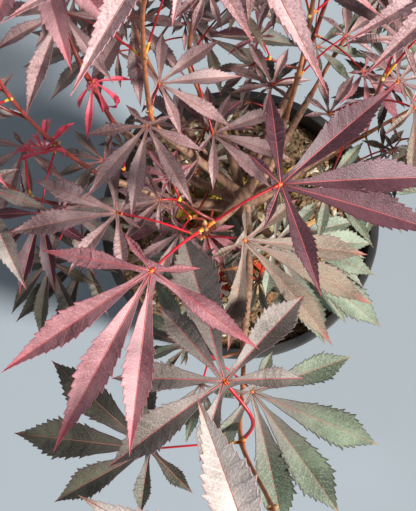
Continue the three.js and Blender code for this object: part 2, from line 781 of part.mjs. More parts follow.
// All leaves of the plant: first those with a place of their own, then the ruled ones
function growLeaves() {
  const taken = limbBalls(TRUNK_LINE.map(vector), TRUNK_RADIUS);
  for (const shoot of SHOOTS) {
    const bough = [trunkMiddle(shoot.foot), ...shoot.bough.map(vector)];
    taken.push(...limbBalls(bough, BOUGH_FOOT_RADIUS));
    taken.push(...limbBalls(shootPoints(shoot), BOUGH_TIP_RADIUS));
  }
  const leaves = SHOOTS.map((shoot, number) => (
    shoot.placed.map((entry, i) => placedLeaf(shoot, number, entry, i))));
  leaves.flat().forEach((leaf) => taken.push(...leafBalls(leaf)));
  SHOOTS.forEach((shoot, number) => {
    shoot.joints.forEach((place, joint) => {
      const set = shoot.placed.filter((entry) => entry.joint === joint).length;
      for (let side = set; side < 2 && !shoot.bare.includes(joint); side += 1) {
        for (let attempt = 0; attempt < TRIES; attempt += 1) {
          const leaf = ruledLeaf(shoot, number, joint, side, attempt);
          const balls = leafBalls(leaf);
          if (isInCrown(balls) && isClear(balls, taken)) {
            taken.push(...balls);
            leaves[number].push(leaf);
            break;
          }
        }
      }
    });
  });
  return leaves;
}

// Mass of foliage: the shoot's stem with its petioles and leaves fused on
function foliageSolid(shoot, leaves) {
  const points = shootPoints(shoot);
  const steps = SHOOT_STEPS_PER_JOINT * shoot.joints.length;
  let solid = limbSolid(points, shootRadius, SHOOT_SIDES, steps).subtract(boughSolid(shoot, GAP));
  for (const leaf of leaves) {
    solid = solid.add(leafSolid(leaf));
  }
  return solid;
}

// Scene graph: one named mesh for each sub-part
const finishes = {
  pot: { color: 0x17191b, roughness: 0.45, metalness: 0 },
  compost: { color: 0x4a3a2c, roughness: 0.95, metalness: 0 },
  bark: { color: 0x8a6a4e, roughness: 0.8, metalness: 0 },
  shoot: { color: 0x9a5a3c, roughness: 0.6, metalness: 0 },
  plum: { color: 0x7a4050, roughness: 0.5, metalness: 0 },
  bronze: { color: 0x7c6450, roughness: 0.5, metalness: 0 },
  green: { color: 0x55613a, roughness: 0.5, metalness: 0 },
};

function piece(name, solid, finish) {
  const mesh = new THREE.Mesh(geometryOf(solid), new THREE.MeshStandardMaterial(finish));
  mesh.name = name;
  return mesh;
}

const plant = new THREE.Group();
plant.add(piece('pot', potSolid(), finishes.pot));
plant.add(piece('compost', compostSolid(), finishes.compost));
plant.add(piece('trunk', trunkSolid(0), finishes.bark));

const trunkKeepOut = trunkSolid(GAP);
const leaves = growLeaves();
SHOOTS.forEach((shoot, number) => {
  const bough = boughSolid(shoot, 0).subtract(trunkKeepOut);
  const foliage = foliageSolid(shoot, leaves[number]);
  plant.add(piece(`bough_${shoot.name}`, bough, finishes.shoot));
  plant.add(piece(`foliage_${shoot.name}`, foliage, finishes[shoot.tint]));
});

export default plant;
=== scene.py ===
import functools
import math

import bmesh
import bpy
import numpy as np
from bpy.props import FloatProperty, FloatVectorProperty, IntProperty, PointerProperty
from mathutils import Matrix, Vector, noise


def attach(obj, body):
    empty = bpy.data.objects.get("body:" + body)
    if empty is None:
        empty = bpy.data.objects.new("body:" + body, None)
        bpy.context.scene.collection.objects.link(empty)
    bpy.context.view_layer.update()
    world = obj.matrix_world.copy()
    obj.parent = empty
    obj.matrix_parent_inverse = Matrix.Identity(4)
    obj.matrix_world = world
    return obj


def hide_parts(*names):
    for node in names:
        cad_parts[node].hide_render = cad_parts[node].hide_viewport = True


bl_info = {
    "name": "Potted Japanese Maple",
    "version": (1, 0, 0),
    "blender": (4, 5, 0),
    "location": "View3D > Sidebar > Maple",
    "description": "Dresses the packed solids of a young Japanese maple in its nursery pot",
    "category": "Object",
}

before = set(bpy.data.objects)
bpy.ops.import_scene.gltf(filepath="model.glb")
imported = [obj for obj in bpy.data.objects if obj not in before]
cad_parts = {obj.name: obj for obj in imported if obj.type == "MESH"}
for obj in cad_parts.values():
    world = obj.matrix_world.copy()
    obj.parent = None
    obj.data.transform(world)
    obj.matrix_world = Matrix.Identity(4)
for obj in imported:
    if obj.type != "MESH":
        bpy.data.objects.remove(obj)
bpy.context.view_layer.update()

# The plant is worked out in millimetres, as its solids are, and is written in metres
MM = 0.001

# Pot
ROUND_STEPS = 96
POT_HEIGHT = 150
RIM_RADIUS = 95
BASE_RADIUS = 75
POT_WALL = 1.8
POT_FLOOR = 2.5
UNDERSIDE_EDGE = 6
SHARP_EDGE = math.radians(25)
LIP_HEIGHT = 9
LIP_OVERHANG = 4
LEDGE_DEPTH = 26
LEDGE_STEP = 2
DRAIN_HOLES = 6
DRAIN_RADIUS = 6
DRAIN_CIRCLE = 50
COMPOST_TOP = 134
GAP = 0.3

# Trunk and boughs
TRUNK_LINE = [(4, 3, COMPOST_TOP + GAP), (5, 2, 160), (1, -1, 188), (0, -4, 216)]
TRUNK_FOOT_RADIUS = 11
TRUNK_RADIUS = 6.6
TRUNK_TOP_RADIUS = 5
FLARE_SHARE = 0.2
BOUGH_FOOT_RADIUS = 3.5
BOUGH_TIP_RADIUS = 2.1
SHOOT_TIP_RADIUS = 1.3

# Leaves: seven lobes, as turns from the middle lobe and as shares of its length
LOBE_TURNS = [-124, -77, -33, 0, 33, 77, 124]
LOBE_SHARES = [0.3, 0.66, 0.93, 1, 0.93, 0.66, 0.3]
LOBE_HALF_WIDTH = 0.108
LOBE_WIDEST = 0.55
BACK_NOTCH_SHARE = 0.045
FOLD = 0.35
TURN_PLAY = 5
SHARE_PLAY = 0.07
PETIOLE_ARCH = 0.12
PETIOLE_RADIUS = 1

# Rule for the leaves that have no place of their own
PETIOLE_LENGTH = 34
PETIOLE_LONGEST = 1.15
PETIOLE_LOSS = 0.4
PETIOLE_PLAY = 0.2
LEAF_LENGTH = 66
LEAF_PLAY = 0.1
LOW_CLIMB = 18
HIGH_CLIMB = 46
CLIMB_PLAY = 10
PAIR_PLAY = 12
HEADING_PLAY = 18
PITCH = 14
PITCH_PLAY = 12
ROLL_PLAY = 12
BEND = 0.36
BEND_PLAY = 0.16
TRIES = 20
TURN_PER_TRY = 5
CLIMB_PER_TRY = 2
LOSS_PER_TRY = 0.03

# Room: air kept between leaves, and how much nearer they may lie one above the other
AIR = 4
FLATTEN = 2.2
SAMPLE_STEP = 5
LOBE_SAMPLES = [0.2, 0.36, 0.52, 0.68, 0.84, 1]
PETIOLE_SAMPLES = [0.35, 0.6, 0.85]
CROWN_MIDDLE = np.array([-6, -16, 330])
CROWN_REACH = np.array([205, 205, 230])
LOWEST_LEAF = 158

# Finer twigs between the joints of a shoot, each with a pair of small leaves. Seen from the eye
# above the plant they leave the set leaves in sight.
TWIG_LENGTH = 24
TWIG_CLIMB = 32
TWIG_RADIUS = 0.9
TWIG_FORK = 50
SMALL_LEAF_LENGTH = 38
SMALL_PETIOLE = 15
HIGHEST_TWIG = 0.75
BOUGH_TWIG_PLACES = [0.3, 0.44, 0.58, 0.72, 0.86, 1]
BOUGH_TWIG_TURNS = (88, 20)
OTHER_TURNS = [0, 16, -16, 32, -32, 48]
FILLING_PLACES = [0.25, 0.6, 0.9]
FILLING_SIZE = 0.95
FILLING_TURNS = [0, 40, 80, 120, 160, 200, 240, 280, 320]
EYE = np.array([-21.9, -174.2, 745.5])

# A blade's outline: how far its notches lie from the hub, how it widens to its widest place
# and narrows to its tip, and the forward teeth of its margin between notch and tip
BLADE_NOTCH = 0.052
BLADE_BASE = 0.07
BASE_CURVE = 1.45
TIP_BOW = 1.2
TIP_CURVE = 1.45
WIDEST = 0.56
TEETH = 13
FEWER_TEETH = 7
MANY_TEETH_FROM = 50
TEETH_START = 0.3
TEETH_END = 0.94
TOOTH_DEPTH = 0.15
TOOTH_PEAK = 0.74
TOOTH_LEAN = 0.2
SMALL_TOOTH = 0.3
BETWEEN_TEETH = -0.45
SMOOTH_PLACES = [0, 0.1, 0.2]
MARGIN_LEAD = 0.2
BLADE_COLUMNS = 4
QUILT = 0.3
CUPPED = 0.22
DRIFT = 0.035
CREASE = math.radians(26)

# Ribs: where they end along a lobe and how far they rise out of the blade. HUB_RADIUS is that
# of the knob where they meet, on a leaf of usual length.
RIB_END = 0.97
RIB_RISE = 0.12
HUB_RADIUS = 0.66

# Blade finish: scales of its mottle and of its grain, which carries painted glints and painted dark
# specks, and its side veins along a lobe and their slant
MOTTLE_SCALE = 38
GRAIN_GLINT_SCALE = 1250
SIDE_VEINS = 34
VEIN_SLANT = 1.7

# Compost: rings of its top, height and scale of its heaps and crumbs, loose bits of bark as
# colour and share of all, and the colours of its fallen leaves
COMPOST_RINGS = 44
HEAPS = (2.2, 0.045)
CRUMBS = (0.9, 0.32)
CHIPS = {
    "dark": ((0.05, 0.03, 0.02), 0.2), "brown": ((0.24, 0.12, 0.06), 0.24),
    "tan": ((0.58, 0.38, 0.2), 0.27), "pale": ((0.72, 0.66, 0.53), 0.21),
    "moss": ((0.22, 0.24, 0.04), 0.08),
}
LITTER = {
    "tan": (0.66, 0.4, 0.18), "gold": (0.75, 0.5, 0.07), "red": (0.62, 0.07, 0.03),
    "beige": (0.75, 0.62, 0.4), "olive": (0.17, 0.16, 0.045),
}
LITTER_THICKNESS = 0.3 * MM
LITTER_HALF_WIDTH = 0.15

# Lamps: place that each shines from, and its colour
LAMPS = {"key": ((1.6, -0.6, 1.4), (1, 0.97, 0.92)), "fill": ((-1.2, 0.5, 1.6), (0.86, 0.92, 1))}
SKY_COLOUR = (0.82, 0.87, 0.93, 1)


def set_leaf(joint, hub, heading, pitch, length, bend, tint, turns=None, shares=None, **form):
    """A leaf with a place of its own: hub is its offset from the joint. form may hold its
    lobes' half width and widest place, how unevenly they curl, and its stalk's radius and bow."""
    return {
        "joint": joint, "hub": hub, "heading": heading, "pitch": pitch, "roll": 0,
        "length": length, "bend": bend, "tint": tint, "turns": turns, "shares": shares, **form,
    }


def new_shoot(name, **form):
    return {"name": name, "bare": (), "placed": (), **form}


# Every shoot carries one mass of foliage. foot: the height where its bough leaves the trunk's
# middle. bough: its bend and its tip. joints: the shoot's own joints, each with a pair of
# leaves. turn: the first pair's direction. bare: joints without leaves. wood: the colour of
# its bark. tints: the colours its ruled leaves are dealt. placed: listed leaves, each with a place
# of its own.
SHOOTS = [
    new_shoot("leader", foot=216, bough=[(-9, -19, 232), (-19, -34, 250)],
              joints=[(-26, -49, 284), (-28, -60, 334), (-23, -71, 380)],
              turn=100, wood="red", tints=["dusk", "plum"], bare=[1], placed=[
        set_leaf(0, (-44, 13, 1), 186, 6, 66, 0.36, "dusk",
                 [-135, -88, -31, 0, 42, 90, 140], [0.38, 0.7, 0.85, 1, 0.64, 0.55, 0.23],
                 width=0.1),
        set_leaf(0, (23, -6, 15), 338, 10, 80, 0.4, "bronze",
                 [-130, -75, -24, 0, 20, 62, 110], [0.25, 0.72, 0.92, 1, 0.9, 0.5, 0.25],
                 width=0.088, widest=0.62, stalk=0.6),
        set_leaf(2, (-21, -23, 19), 241, 4, 81, 0.24, "plum",
                 [-115, -73, -28, 0, 22, 83, 123], [0.25, 0.58, 0.9, 1, 0.9, 0.65, 0.24],
                 width=0.08, widest=0.54, stalk=0.6),
        set_leaf(2, (31, 16, 9), 6, 4, 81, 0.24, "wine",
                 [-116, -76, -20, 0, 37, 88, 127], [0.25, 0.62, 0.97, 1, 0.92, 0.55, 0.25],
                 width=0.09, widest=0.52, stalk=0.6),
    ]),
    new_shoot("front", foot=203, bough=[(3, -40, 216), (-2, -98, 240)],
              joints=[(-3, -122, 254), (-5, -155, 281), (6, -185, 335), (8, -208, 404)],
              turn=10, wood="orange", tints=["green", "olive"], bare=[2], placed=[
        set_leaf(0, (4, -7, 18), 307, 8, 81, 0.3, "olive",
                 [-125, -70, -23, 0, 31, 72, 115], [0.25, 0.6, 0.95, 1, 0.94, 0.73, 0.3],
                 width=0.12, widest=0.66),
        set_leaf(1, (-9, 27, 33), 105, 8, 88, 0.3, "smoke",
                 [-101, -56, 0, 24, 71, 110, 147], [0.44, 0.71, 1, 0.6, 0.64, 0.78, 0.45],
                 width=0.128, widest=0.62, stalk=0.95, bow=(9, -4, 2)),
        set_leaf(1, (-47, -3, -11), 173, 8, 79, 0.3, "green",
                 [-128, -78, -33, 0, 34, 88, 142], [0.3, 0.6, 0.97, 1, 0.75, 0.43, 0.4],
                 width=0.125, widest=0.6),
        set_leaf(3, (-10, -3, 33), 153, 0, 72, 0.2, "ash",
                 [-150, -100, -43, 0, 36, 74, 120], [0.2, 0.35, 0.98, 1, 0.9, 0.6, 0.3],
                 width=0.12, widest=0.5),
        set_leaf(3, (20, -6, 24), 320, 6, 58, 0.3, "plum"),
        set_leaf(0, (-28, 20, 14), 118, 8, 42, 0.3, "olive"),
    ]),
    new_shoot("tall", foot=209, bough=[(-18, 6, 228), (-50, 22, 256)],
              joints=[(-54, 25, 276), (-54, 32, 328), (-50, 30, 388), (-40, 8, 446),
                      (-30, -8, 494)],
              turn=40, wood="orange", tints=["dusk", "wine", "plum"], placed=[
        set_leaf(0, (5, 16, 2), 10, 8, 54, 0.3, "dusk"),
        set_leaf(0, (0, -17, 22), 262, 8, 52, 0.3, "dusk"),
        set_leaf(1, (-46, 39, -25), 200, 10, 60, 0.4, "dusk",
                 [-110, -60, -30, 0, 46, 104, 150], [0.4, 0.7, 0.8, 0.8, 1, 0.8, 0.4]),
        set_leaf(1, (24, 34, 50), 335, 6, 58, 0.3, "rose", widest=0.45),
        set_leaf(4, (-4, -18, 26), 203, 4, 56, 0.3, "rose",
                 [-124, -77, -33, 0, 35, 80, 124], [0.3, 0.66, 0.9, 0.95, 0.93, 0.3, 0.3],
                 width=0.08, widest=0.42),
        set_leaf(4, (14, -10, 28), 328, 4, 60, 0.3, "rose",
                 [-124, -70, -29, 0, 33, 77, 124], [0.3, 0.35, 1, 0.9, 0.9, 0.6, 0.3],
                 width=0.08, widest=0.42),
        set_leaf(2, (-28, 26, 14), 150, 8, 50, 0.3, "dusk"),
    ]),
    new_shoot("left", foot=192, bough=[(-36, 12, 206), (-78, 34, 234)],
              joints=[(-95, 58, 267), (-110, 92, 306), (-116, 104, 356), (-114, 106, 404)],
              turn=120, wood="red", tints=["dusk", "wine", "plum"], bare=[0],
              placed=[set_leaf(0, (8, -12, 2), 300, 0, 38, 2.2, "crimson", width=0.055, curl=0.6)]),
    new_shoot("middle", foot=197, bough=[(-10, 28, 220), (-26, 50, 242)],
              joints=[(-33, 64, 264), (-26, 88, 312), (-20, 104, 366), (-14, 108, 418)],
              turn=200, wood="orange", tints=["dusk", "bronze", "rose"], placed=[
        set_leaf(0, (14, -42, -13), 350, 8, 50, 0.3, "dusk"),
        set_leaf(1, (10, 26, 8), 100, 8, 46, 0.3, "dusk"),
    ]),
    new_shoot("right", foot=186, bough=[(30, 12, 206), (54, 20, 232)],
              joints=[(60, 22, 268), (62, 14, 318), (57, 2, 368)],
              turn=60, wood="red", tints=["bronze", "dusk"], placed=[
        set_leaf(2, (34, 28, 47), 221, 4, 66, 0.3, "rose",
                 [-120, -60, -15, 0, 20, 70, 120], [0.3, 0.7, 0.97, 1, 1, 0.6, 0.3],
                 width=0.085, widest=0.45),
        set_leaf(0, (25, 22, 7), 55, 10, 50, 0.4, "dusk"),
        set_leaf(0, (-17, -39, 8), 338, 8, 50, 0.3, "olive"),
        set_leaf(1, (-20, 0, -18), 59, 4, 34, 0.3, "dusk",
                 [-124, -77, -33, 0, 40, 80, 124], [0.5, 0.6, 0.7, 0.9, 0.8, 0.5, 0.4]),
    ]),
    new_shoot("back", foot=180, bough=[(16, 40, 200), (34, 70, 222)],
              joints=[(42, 86, 250), (50, 102, 300), (54, 112, 352), (50, 114, 404)],
              turn=90, wood="red", tints=["dusk", "plum", "smoke"]),
    new_shoot("low_right", foot=170, bough=[(34, 20, 180), (60, 34, 186)],
              joints=[(80, 44, 194), (112, 56, 214), (138, 56, 246)],
              turn=20, wood="orange", tints=["sage", "green"]),
    new_shoot("low_left", foot=166, bough=[(-34, 2, 176), (-76, -2, 186)],
              joints=[(-102, -6, 198), (-130, -6, 218), (-150, 0, 246)],
              turn=80, wood="red", tints=["green", "smoke"], placed=[
        set_leaf(0, (4, -34, 4), 214, 14, 64, 0.4, "green"),
        set_leaf(1, (-5, 32, 0), 250, 4, 48, 0.3, "dusk",
                 [-124, -85, -40, 0, 24, 70, 120], [0.3, 0.5, 0.7, 1, 0.83, 0.7, 0.4]),
    ]),
    new_shoot("low_back", foot=160, bough=[(-22, 34, 174), (-52, 76, 192)],
              joints=[(-64, 96, 212), (-74, 118, 246), (-80, 132, 290), (-76, 136, 340)],
              turn=0, wood="orange", tints=["dusk", "smoke", "green"]),
    new_shoot("inner", foot=206, bough=[(12, 14, 224), (24, 34, 246)],
              joints=[(28, 44, 280), (30, 54, 330), (28, 60, 384), (22, 60, 436)],
              turn=140, wood="orange", tints=["dusk", "plum"], placed=[
        set_leaf(0, (-13, 4, -18), 113, 4, 36, 0.3, "dusk",
                 [-155, -102, -45, 0, 40, 75, 141], [0.4, 0.66, 0.8, 1, 0.85, 0.7, 0.55]),
        set_leaf(1, (-14, 26, 22), 95, 8, 40, 0.3, "dusk"),
    ]),
    new_shoot("side_left", foot=184, bough=[(-40, -2, 198), (-86, 6, 220)],
              joints=[(-110, 16, 248), (-128, 26, 292), (-132, 32, 340)],
              turn=30, wood="red", tints=["wine", "dusk"], placed=[
        set_leaf(0, (-6, -6, 6), 118, 0, 40, 1.6, "crimson",
                 [-100, -60, -25, 0, 25, 50, 75], [0.6, 0.8, 1, 1, 0.9, 0.7, 0.5],
                 width=0.06, curl=0.5),
        set_leaf(1, (-24, 18, 14), 140, 10, 54, 0.4, "dusk"),
        set_leaf(1, (-22, -22, 12), 225, 10, 54, 0.4, "plum"),
    ]),
    new_shoot("low_far", foot=163, bough=[(22, 34, 174), (46, 74, 188)],
              joints=[(62, 98, 204), (82, 122, 232), (94, 136, 272)],
              turn=100, wood="orange", tints=["green", "olive"], placed=[
        set_leaf(0, (-14, -1, 8), 355, 6, 38, 0.3, "sage",
                 [-125, -80, -38, 0, 48, 110, 150], [0.4, 0.6, 0.9, 1, 0.85, 0.6, 0.4]),
    ]),
    new_shoot("low_front", foot=157, bough=[(16, -14, 168), (30, -26, 178)],
              joints=[(36, -32, 188), (46, -42, 208)],
              turn=40, wood="orange", tints=["sage"], bare=[1], placed=[
        set_leaf(0, (-19, -5, 40), 324, 6, 84, 0.3, "sage",
                 [-110, -62, -26, 0, 38, 78, 115], [0.2, 0.4, 0.81, 1, 0.75, 0.4, 0.2],
                 width=0.11, widest=0.7),
        set_leaf(0, (-10, 5, 12), 320, 4, 66, 0.3, "sage",
                 [-110, -50, -13, 20, 56, 90, 125], [0.25, 0.5, 1, 0.96, 0.75, 0.5, 0.25],
                 width=0.11, widest=0.68),
    ]),
]

# Leaf tints. Of each: its slot name, what its blades are like, its own colour, the second
# colour of its mottle, which lightened also gives its painted glints, the colour of its tips and
# of its margins, where its tips begin, how strongly it is speckled with painted glints and
# painted dark specks, and how grey it is near the hub.
TINTS = {
    "plum": ("leaf_plum", "Plum-pink blades", (0.3, 0.1, 0.125),
             (0.46, 0.22, 0.24), (0.52, 0.08, 0.12), (0.28, 0.08, 0.11), 0.72, 0.28, 0.1),
    "wine": ("leaf_plum", "Dark wine-red blades", (0.085, 0.024, 0.038),
             (0.14, 0.052, 0.07), (0.2, 0.025, 0.045), (0.11, 0.025, 0.04), 0.8, 0.35, 0.1),
    "rose": ("leaf_plum", "Pale grey-rose blades", (0.43, 0.235, 0.25),
             (0.6, 0.4, 0.41), (0.6, 0.17, 0.2), (0.42, 0.2, 0.22), 0.75, 0.4, 0.2),
    "crimson": ("leaf_plum", "Young curled blades", (0.95, 0.05, 0.13),
                (1, 0.15, 0.23), (0.8, 0.03, 0.08), (0.7, 0.02, 0.06), 0.8, 0.2, 0),
    "dusk": ("leaf_bronze", "Brown-grey plum blades", (0.265, 0.14, 0.147),
             (0.47, 0.305, 0.305), (0.34, 0.09, 0.1), (0.17, 0.07, 0.08), 0.85, 0.38, 0.2),
    "smoke": ("leaf_bronze", "Dark smoky grey blades", (0.155, 0.125, 0.107),
              (0.265, 0.22, 0.195), (0.28, 0.07, 0.08), (0.17, 0.1, 0.11), 0.88, 0.5, 0.3),
    "ash": ("leaf_bronze", "Beige-grey blades with pink tips", (0.66, 0.565, 0.525),
            (0.76, 0.67, 0.63), (0.4, 0.14, 0.08), (0.5, 0.32, 0.31), 0.84, 0.25, 0.3),
    "bronze": ("leaf_bronze", "Beige-bronze blades", (0.2, 0.145, 0.105),
               (0.29, 0.225, 0.17), (0.46, 0.15, 0.13), (0.18, 0.11, 0.09), 0.82, 0.4, 0.3),
    "olive": ("leaf_green", "Grey-green blades", (0.115, 0.14, 0.095),
              (0.22, 0.27, 0.19), (0.36, 0.26, 0.15), (0.05, 0.035, 0.028), 0.93, 0.45, 0.7),
    "green": ("leaf_green", "Dark green blades with plum margins", (0.055, 0.051, 0.035),
              (0.122, 0.115, 0.082), (0.18, 0.06, 0.05), (0.075, 0.035, 0.035), 0.88, 0.45, 0.5),
    "sage": ("leaf_green", "Pale grey-green blades", (0.19, 0.23, 0.165),
             (0.3, 0.35, 0.26), (0.3, 0.25, 0.18), (0.11, 0.1, 0.07), 0.92, 0.4, 0.6),
}


# Seeded rule


def chance(key):
    """A number from 0 to 1 that depends only on its key."""
    value = math.sin(key * 12.9898 + 4.1414) * 43758.5453
    return value - math.floor(value)


def spread_out(key, play):
    return (2 * chance(key) - 1) * play


def mix(a, b, share):
    return a + (b - a) * share


def toward(heading, climb):
    """The direction of a heading in degrees, level or climbing by an angle in radians."""
    turn = math.radians(heading)
    level = math.cos(climb)
    return np.array([level * math.cos(turn), level * math.sin(turn), math.sin(climb)])


def smooth(share):
    share = min(1, max(0, share))
    return share * share * (3 - 2 * share)


class Line:
    """A smooth line through points, as a uniform Catmull-Rom spline."""
    measures = 200

    def __init__(self, points):
        self.points = [np.array(point, dtype=float) for point in points]

    def point(self, share):
        last = len(self.points) - 1
        place = min(1, max(0, share)) * last
        index = min(int(place), last - 1)
        weight = place - index
        start, end = self.points[index], self.points[index + 1]
        before = self.points[index - 1] if index > 0 else 2 * start - end
        after = self.points[index + 2] if index + 2 <= last else 2 * end - start
        leave = 0.5 * (end - before)
        arrive = 0.5 * (after - start)
        square = weight * weight
        cube = square * weight
        return (start + leave * weight + (3 * (end - start) - 2 * leave - arrive) * square
                + (2 * (start - end) + leave + arrive) * cube)

    def tangent(self, share):
        run = self.point(share + 0.001) - self.point(share - 0.001)
        return run / np.linalg.norm(run)

    def length(self):
        places = [self.point(i / self.measures) for i in range(self.measures + 1)]
        return sum(np.linalg.norm(b - a) for a, b in zip(places, places[1:]))


# The plant's own forms, as its solids have them


def trunk_radius(share):
    taper = mix(TRUNK_RADIUS, TRUNK_TOP_RADIUS, share)
    flare = max(0, 1 - share / FLARE_SHARE) ** 2
    return taper + (TRUNK_FOOT_RADIUS - TRUNK_RADIUS) * flare


def trunk_middle(height):
    line = Line(TRUNK_LINE)
    share = 0
    while share < 1 and line.point(share)[2] < height:
        share += 0.01
    return line.point(min(share, 1))


def bough_points(shoot):
    return [trunk_middle(shoot["foot"]), *shoot["bough"]]


def shoot_points(shoot):
    return [shoot["bough"][1], *shoot["joints"]]


def leaf_axes(leaf):
    """Along the middle lobe, to its left and out of the blade's upper face."""
    roll = math.radians(leaf["roll"])
    along = toward(leaf["heading"], -math.radians(leaf["pitch"]))
    left = toward(leaf["heading"] + 90, 0)
    up = np.cross(along, left)
    rolled_left = left * math.cos(roll) + up * math.sin(roll)
    rolled_up = up * math.cos(roll) - left * math.sin(roll)
    return along, rolled_left, rolled_up


def lobes_of(leaf):
    """Turn from the middle lobe, in radians, and length of each lobe."""
    lobes = []
    for i, turn in enumerate(LOBE_TURNS):
        own_turn = leaf["turns"][i] if leaf["turns"] else turn + spread_out(
            leaf["key"] + 3 * i, TURN_PLAY)
        own_share = leaf["shares"][i] if leaf["shares"] else LOBE_SHARES[i] + spread_out(
            leaf["key"] + 3 * i + 1, SHARE_PLAY)
        lobes.append((math.radians(own_turn), leaf["length"] * own_share))
    return lobes


def leaf_points(leaf, axes, turn, length, share, side, above):
    """Points of a leaf by their share of a lobe, sideways from its rib and above its blade.
    Every lobe curves down along an arc that turns by the leaf's bend."""
    share, side, above = (np.asarray(value, dtype=float) for value in (share, side, above))
    along = axes[0] * math.cos(turn) + axes[1] * math.sin(turn)
    across = axes[1] * math.cos(turn) - axes[0] * math.sin(turn)
    bend = leaf["bend"] * (1 + leaf.get("curl", 0) * math.sin(3 * turn + 1))
    turned = bend * share
    rise = above + FOLD * np.abs(side)
    forward = length * np.sin(turned) / bend + rise * np.sin(turned)
    upward = rise * np.cos(turned) - length * (1 - np.cos(turned)) / bend
    return (np.asarray(leaf["hub"], dtype=float) + forward[..., None] * along
            + upward[..., None] * axes[2] + side[..., None] * across)


def lobe_half_width(length, share):
    rise = min(1, share / LOBE_WIDEST)
    fall = min(1, (1 - share) / (1 - LOBE_WIDEST))
    return length * LOBE_HALF_WIDTH * min(rise, fall)


def petiole_line(leaf):
    foot = np.array(leaf["foot"], dtype=float)
    hub = np.array(leaf["hub"], dtype=float)
    middle = (foot + hub) / 2 + np.array(leaf.get("bow", (0, 0, 0)))
    middle[2] += PETIOLE_ARCH * np.linalg.norm(hub - foot)
    return Line([foot, middle, hub])


def leaf_balls(leaf):
    """Sample balls that stand for a leaf where it is tested against the rest of the plant."""
    axes = leaf_axes(leaf)
    balls = []
    for turn, length in lobes_of(leaf):
        for share in LOBE_SAMPLES:
            centre = leaf_points(leaf, axes, turn, length, share, 0, 0)
            balls.append((*centre, lobe_half_width(length, share)))
    line = petiole_line(leaf)
    balls += [(*line.point(share), PETIOLE_RADIUS) for share in PETIOLE_SAMPLES]
    return np.array(balls)


def limb_balls(points, radius):
    line = Line(points)
    count = math.ceil(line.length() / SAMPLE_STEP)
    return np.array([(*line.point(i / count), radius) for i in range(count + 1)])


class Room:
    """The space that limbs and leaves have taken."""

    def __init__(self):
        self.balls = np.empty((0, 4))

    def take(self, balls):
        self.balls = np.vstack([self.balls, balls])

    def is_clear(self, balls):
        away = balls[:, None, :3] - self.balls[None, :, :3]
        away[..., 2] *= FLATTEN
        least = balls[:, None, 3] + self.balls[None, :, 3] + AIR
        return bool(np.all((away ** 2).sum(-1) > least ** 2))


def hides(balls, kept):
    """Whether some of the balls lie before the kept ones, seen from the eye."""
    sight, kept_sight = balls[:, :3] - EYE, kept[:, :3] - EYE
    away = np.linalg.norm(sight, axis=1)
    kept_away = np.linalg.norm(kept_sight, axis=1)
    between = 1 - (sight / away[:, None]) @ (kept_sight / kept_away[:, None]).T
    angle = np.sqrt(2 * np.maximum(0, between))
    least = (balls[:, 3] / away)[:, None] + (kept[:, 3] / kept_away)[None, :]
    return bool(np.any((angle < least) & (away[:, None] < kept_away[None, :])))


def is_in_crown(balls):
    away = (balls[:, :3] - CROWN_MIDDLE) / CROWN_REACH
    return bool(np.all((away ** 2).sum(-1) < 1) and np.all(balls[:, 2] > LOWEST_LEAF))


def dealt_tint(shoot, key):
    tints = shoot["tints"]
    return tints[int(chance(key + 0.05) * len(tints))]


def ruled_leaf(shoot, number, joint, side, attempt):
    """One leaf by the seeded rule: pairs stand crosswise from joint to joint."""
    key = 1000 * number + 100 * joint + 50 * side + 7 * attempt + 0.37
    foot = np.array(shoot["joints"][joint], dtype=float)
    height = joint / (len(shoot["joints"]) - 1)
    turn = (shoot["turn"] + 90 * joint + 180 * side
            + spread_out(key + 0.11, PAIR_PLAY + TURN_PER_TRY * attempt))
    climb = math.radians(mix(LOW_CLIMB, HIGH_CLIMB, height)
                         + spread_out(key + 0.23, CLIMB_PLAY + CLIMB_PER_TRY * attempt))
    reach = PETIOLE_LENGTH * (
        PETIOLE_LONGEST - PETIOLE_LOSS * height + spread_out(key + 0.31, PETIOLE_PLAY))
    return {
        "key": key, "foot": foot, "hub": foot + reach * toward(turn, climb),
        "heading": turn + spread_out(key + 0.41, HEADING_PLAY),
        "pitch": PITCH + spread_out(key + 0.53, PITCH_PLAY),
        "roll": spread_out(key + 0.61, ROLL_PLAY),
        "length": LEAF_LENGTH * (1 - LOSS_PER_TRY * attempt + spread_out(key + 0.71, LEAF_PLAY)),
        "bend": BEND + spread_out(key + 0.97, BEND_PLAY),
        "turns": None, "shares": None, "tint": dealt_tint(shoot, key),
    }


def placed_leaf(shoot, number, entry, i):
    foot = np.array(shoot["joints"][entry["joint"]], dtype=float)
    return {**entry, "key": 1000 * number + 500 + 40 * i + 0.37, "foot": foot,
            "hub": foot + np.array(entry["hub"])}


def ruled_twig(shoot, foot, turn, key, size):
    """A finer twig with a pair of small leaves at its tip."""
    turn += spread_out(key, PAIR_PLAY)
    climb = math.radians(TWIG_CLIMB + spread_out(key + 0.2, CLIMB_PLAY))
    reach = TWIG_LENGTH * (1 + spread_out(key + 0.3, PETIOLE_PLAY))
    run = reach * toward(turn, climb)
    middle = foot + run / 2 - np.array([0, 0, reach * PETIOLE_ARCH])
    tip = foot + run
    leaves = []
    for pair in (-1, 1):
        own = key + 3 * pair
        aside = turn + TWIG_FORK * pair + spread_out(own, HEADING_PLAY)
        leaves.append({
            "key": own, "foot": tip, "hub": tip + SMALL_PETIOLE * toward(aside, climb),
            "heading": aside, "pitch": PITCH, "roll": spread_out(own + 0.61, ROLL_PLAY),
            "length": size * SMALL_LEAF_LENGTH * (1 + spread_out(own + 0.71, PETIOLE_PLAY)),
            "bend": BEND + spread_out(own + 0.97, BEND_PLAY),
            "turns": None, "shares": None, "tint": dealt_tint(shoot, own),
        })
    return {"points": [foot, middle, tip], "leaves": leaves, "wood": shoot["wood"]}


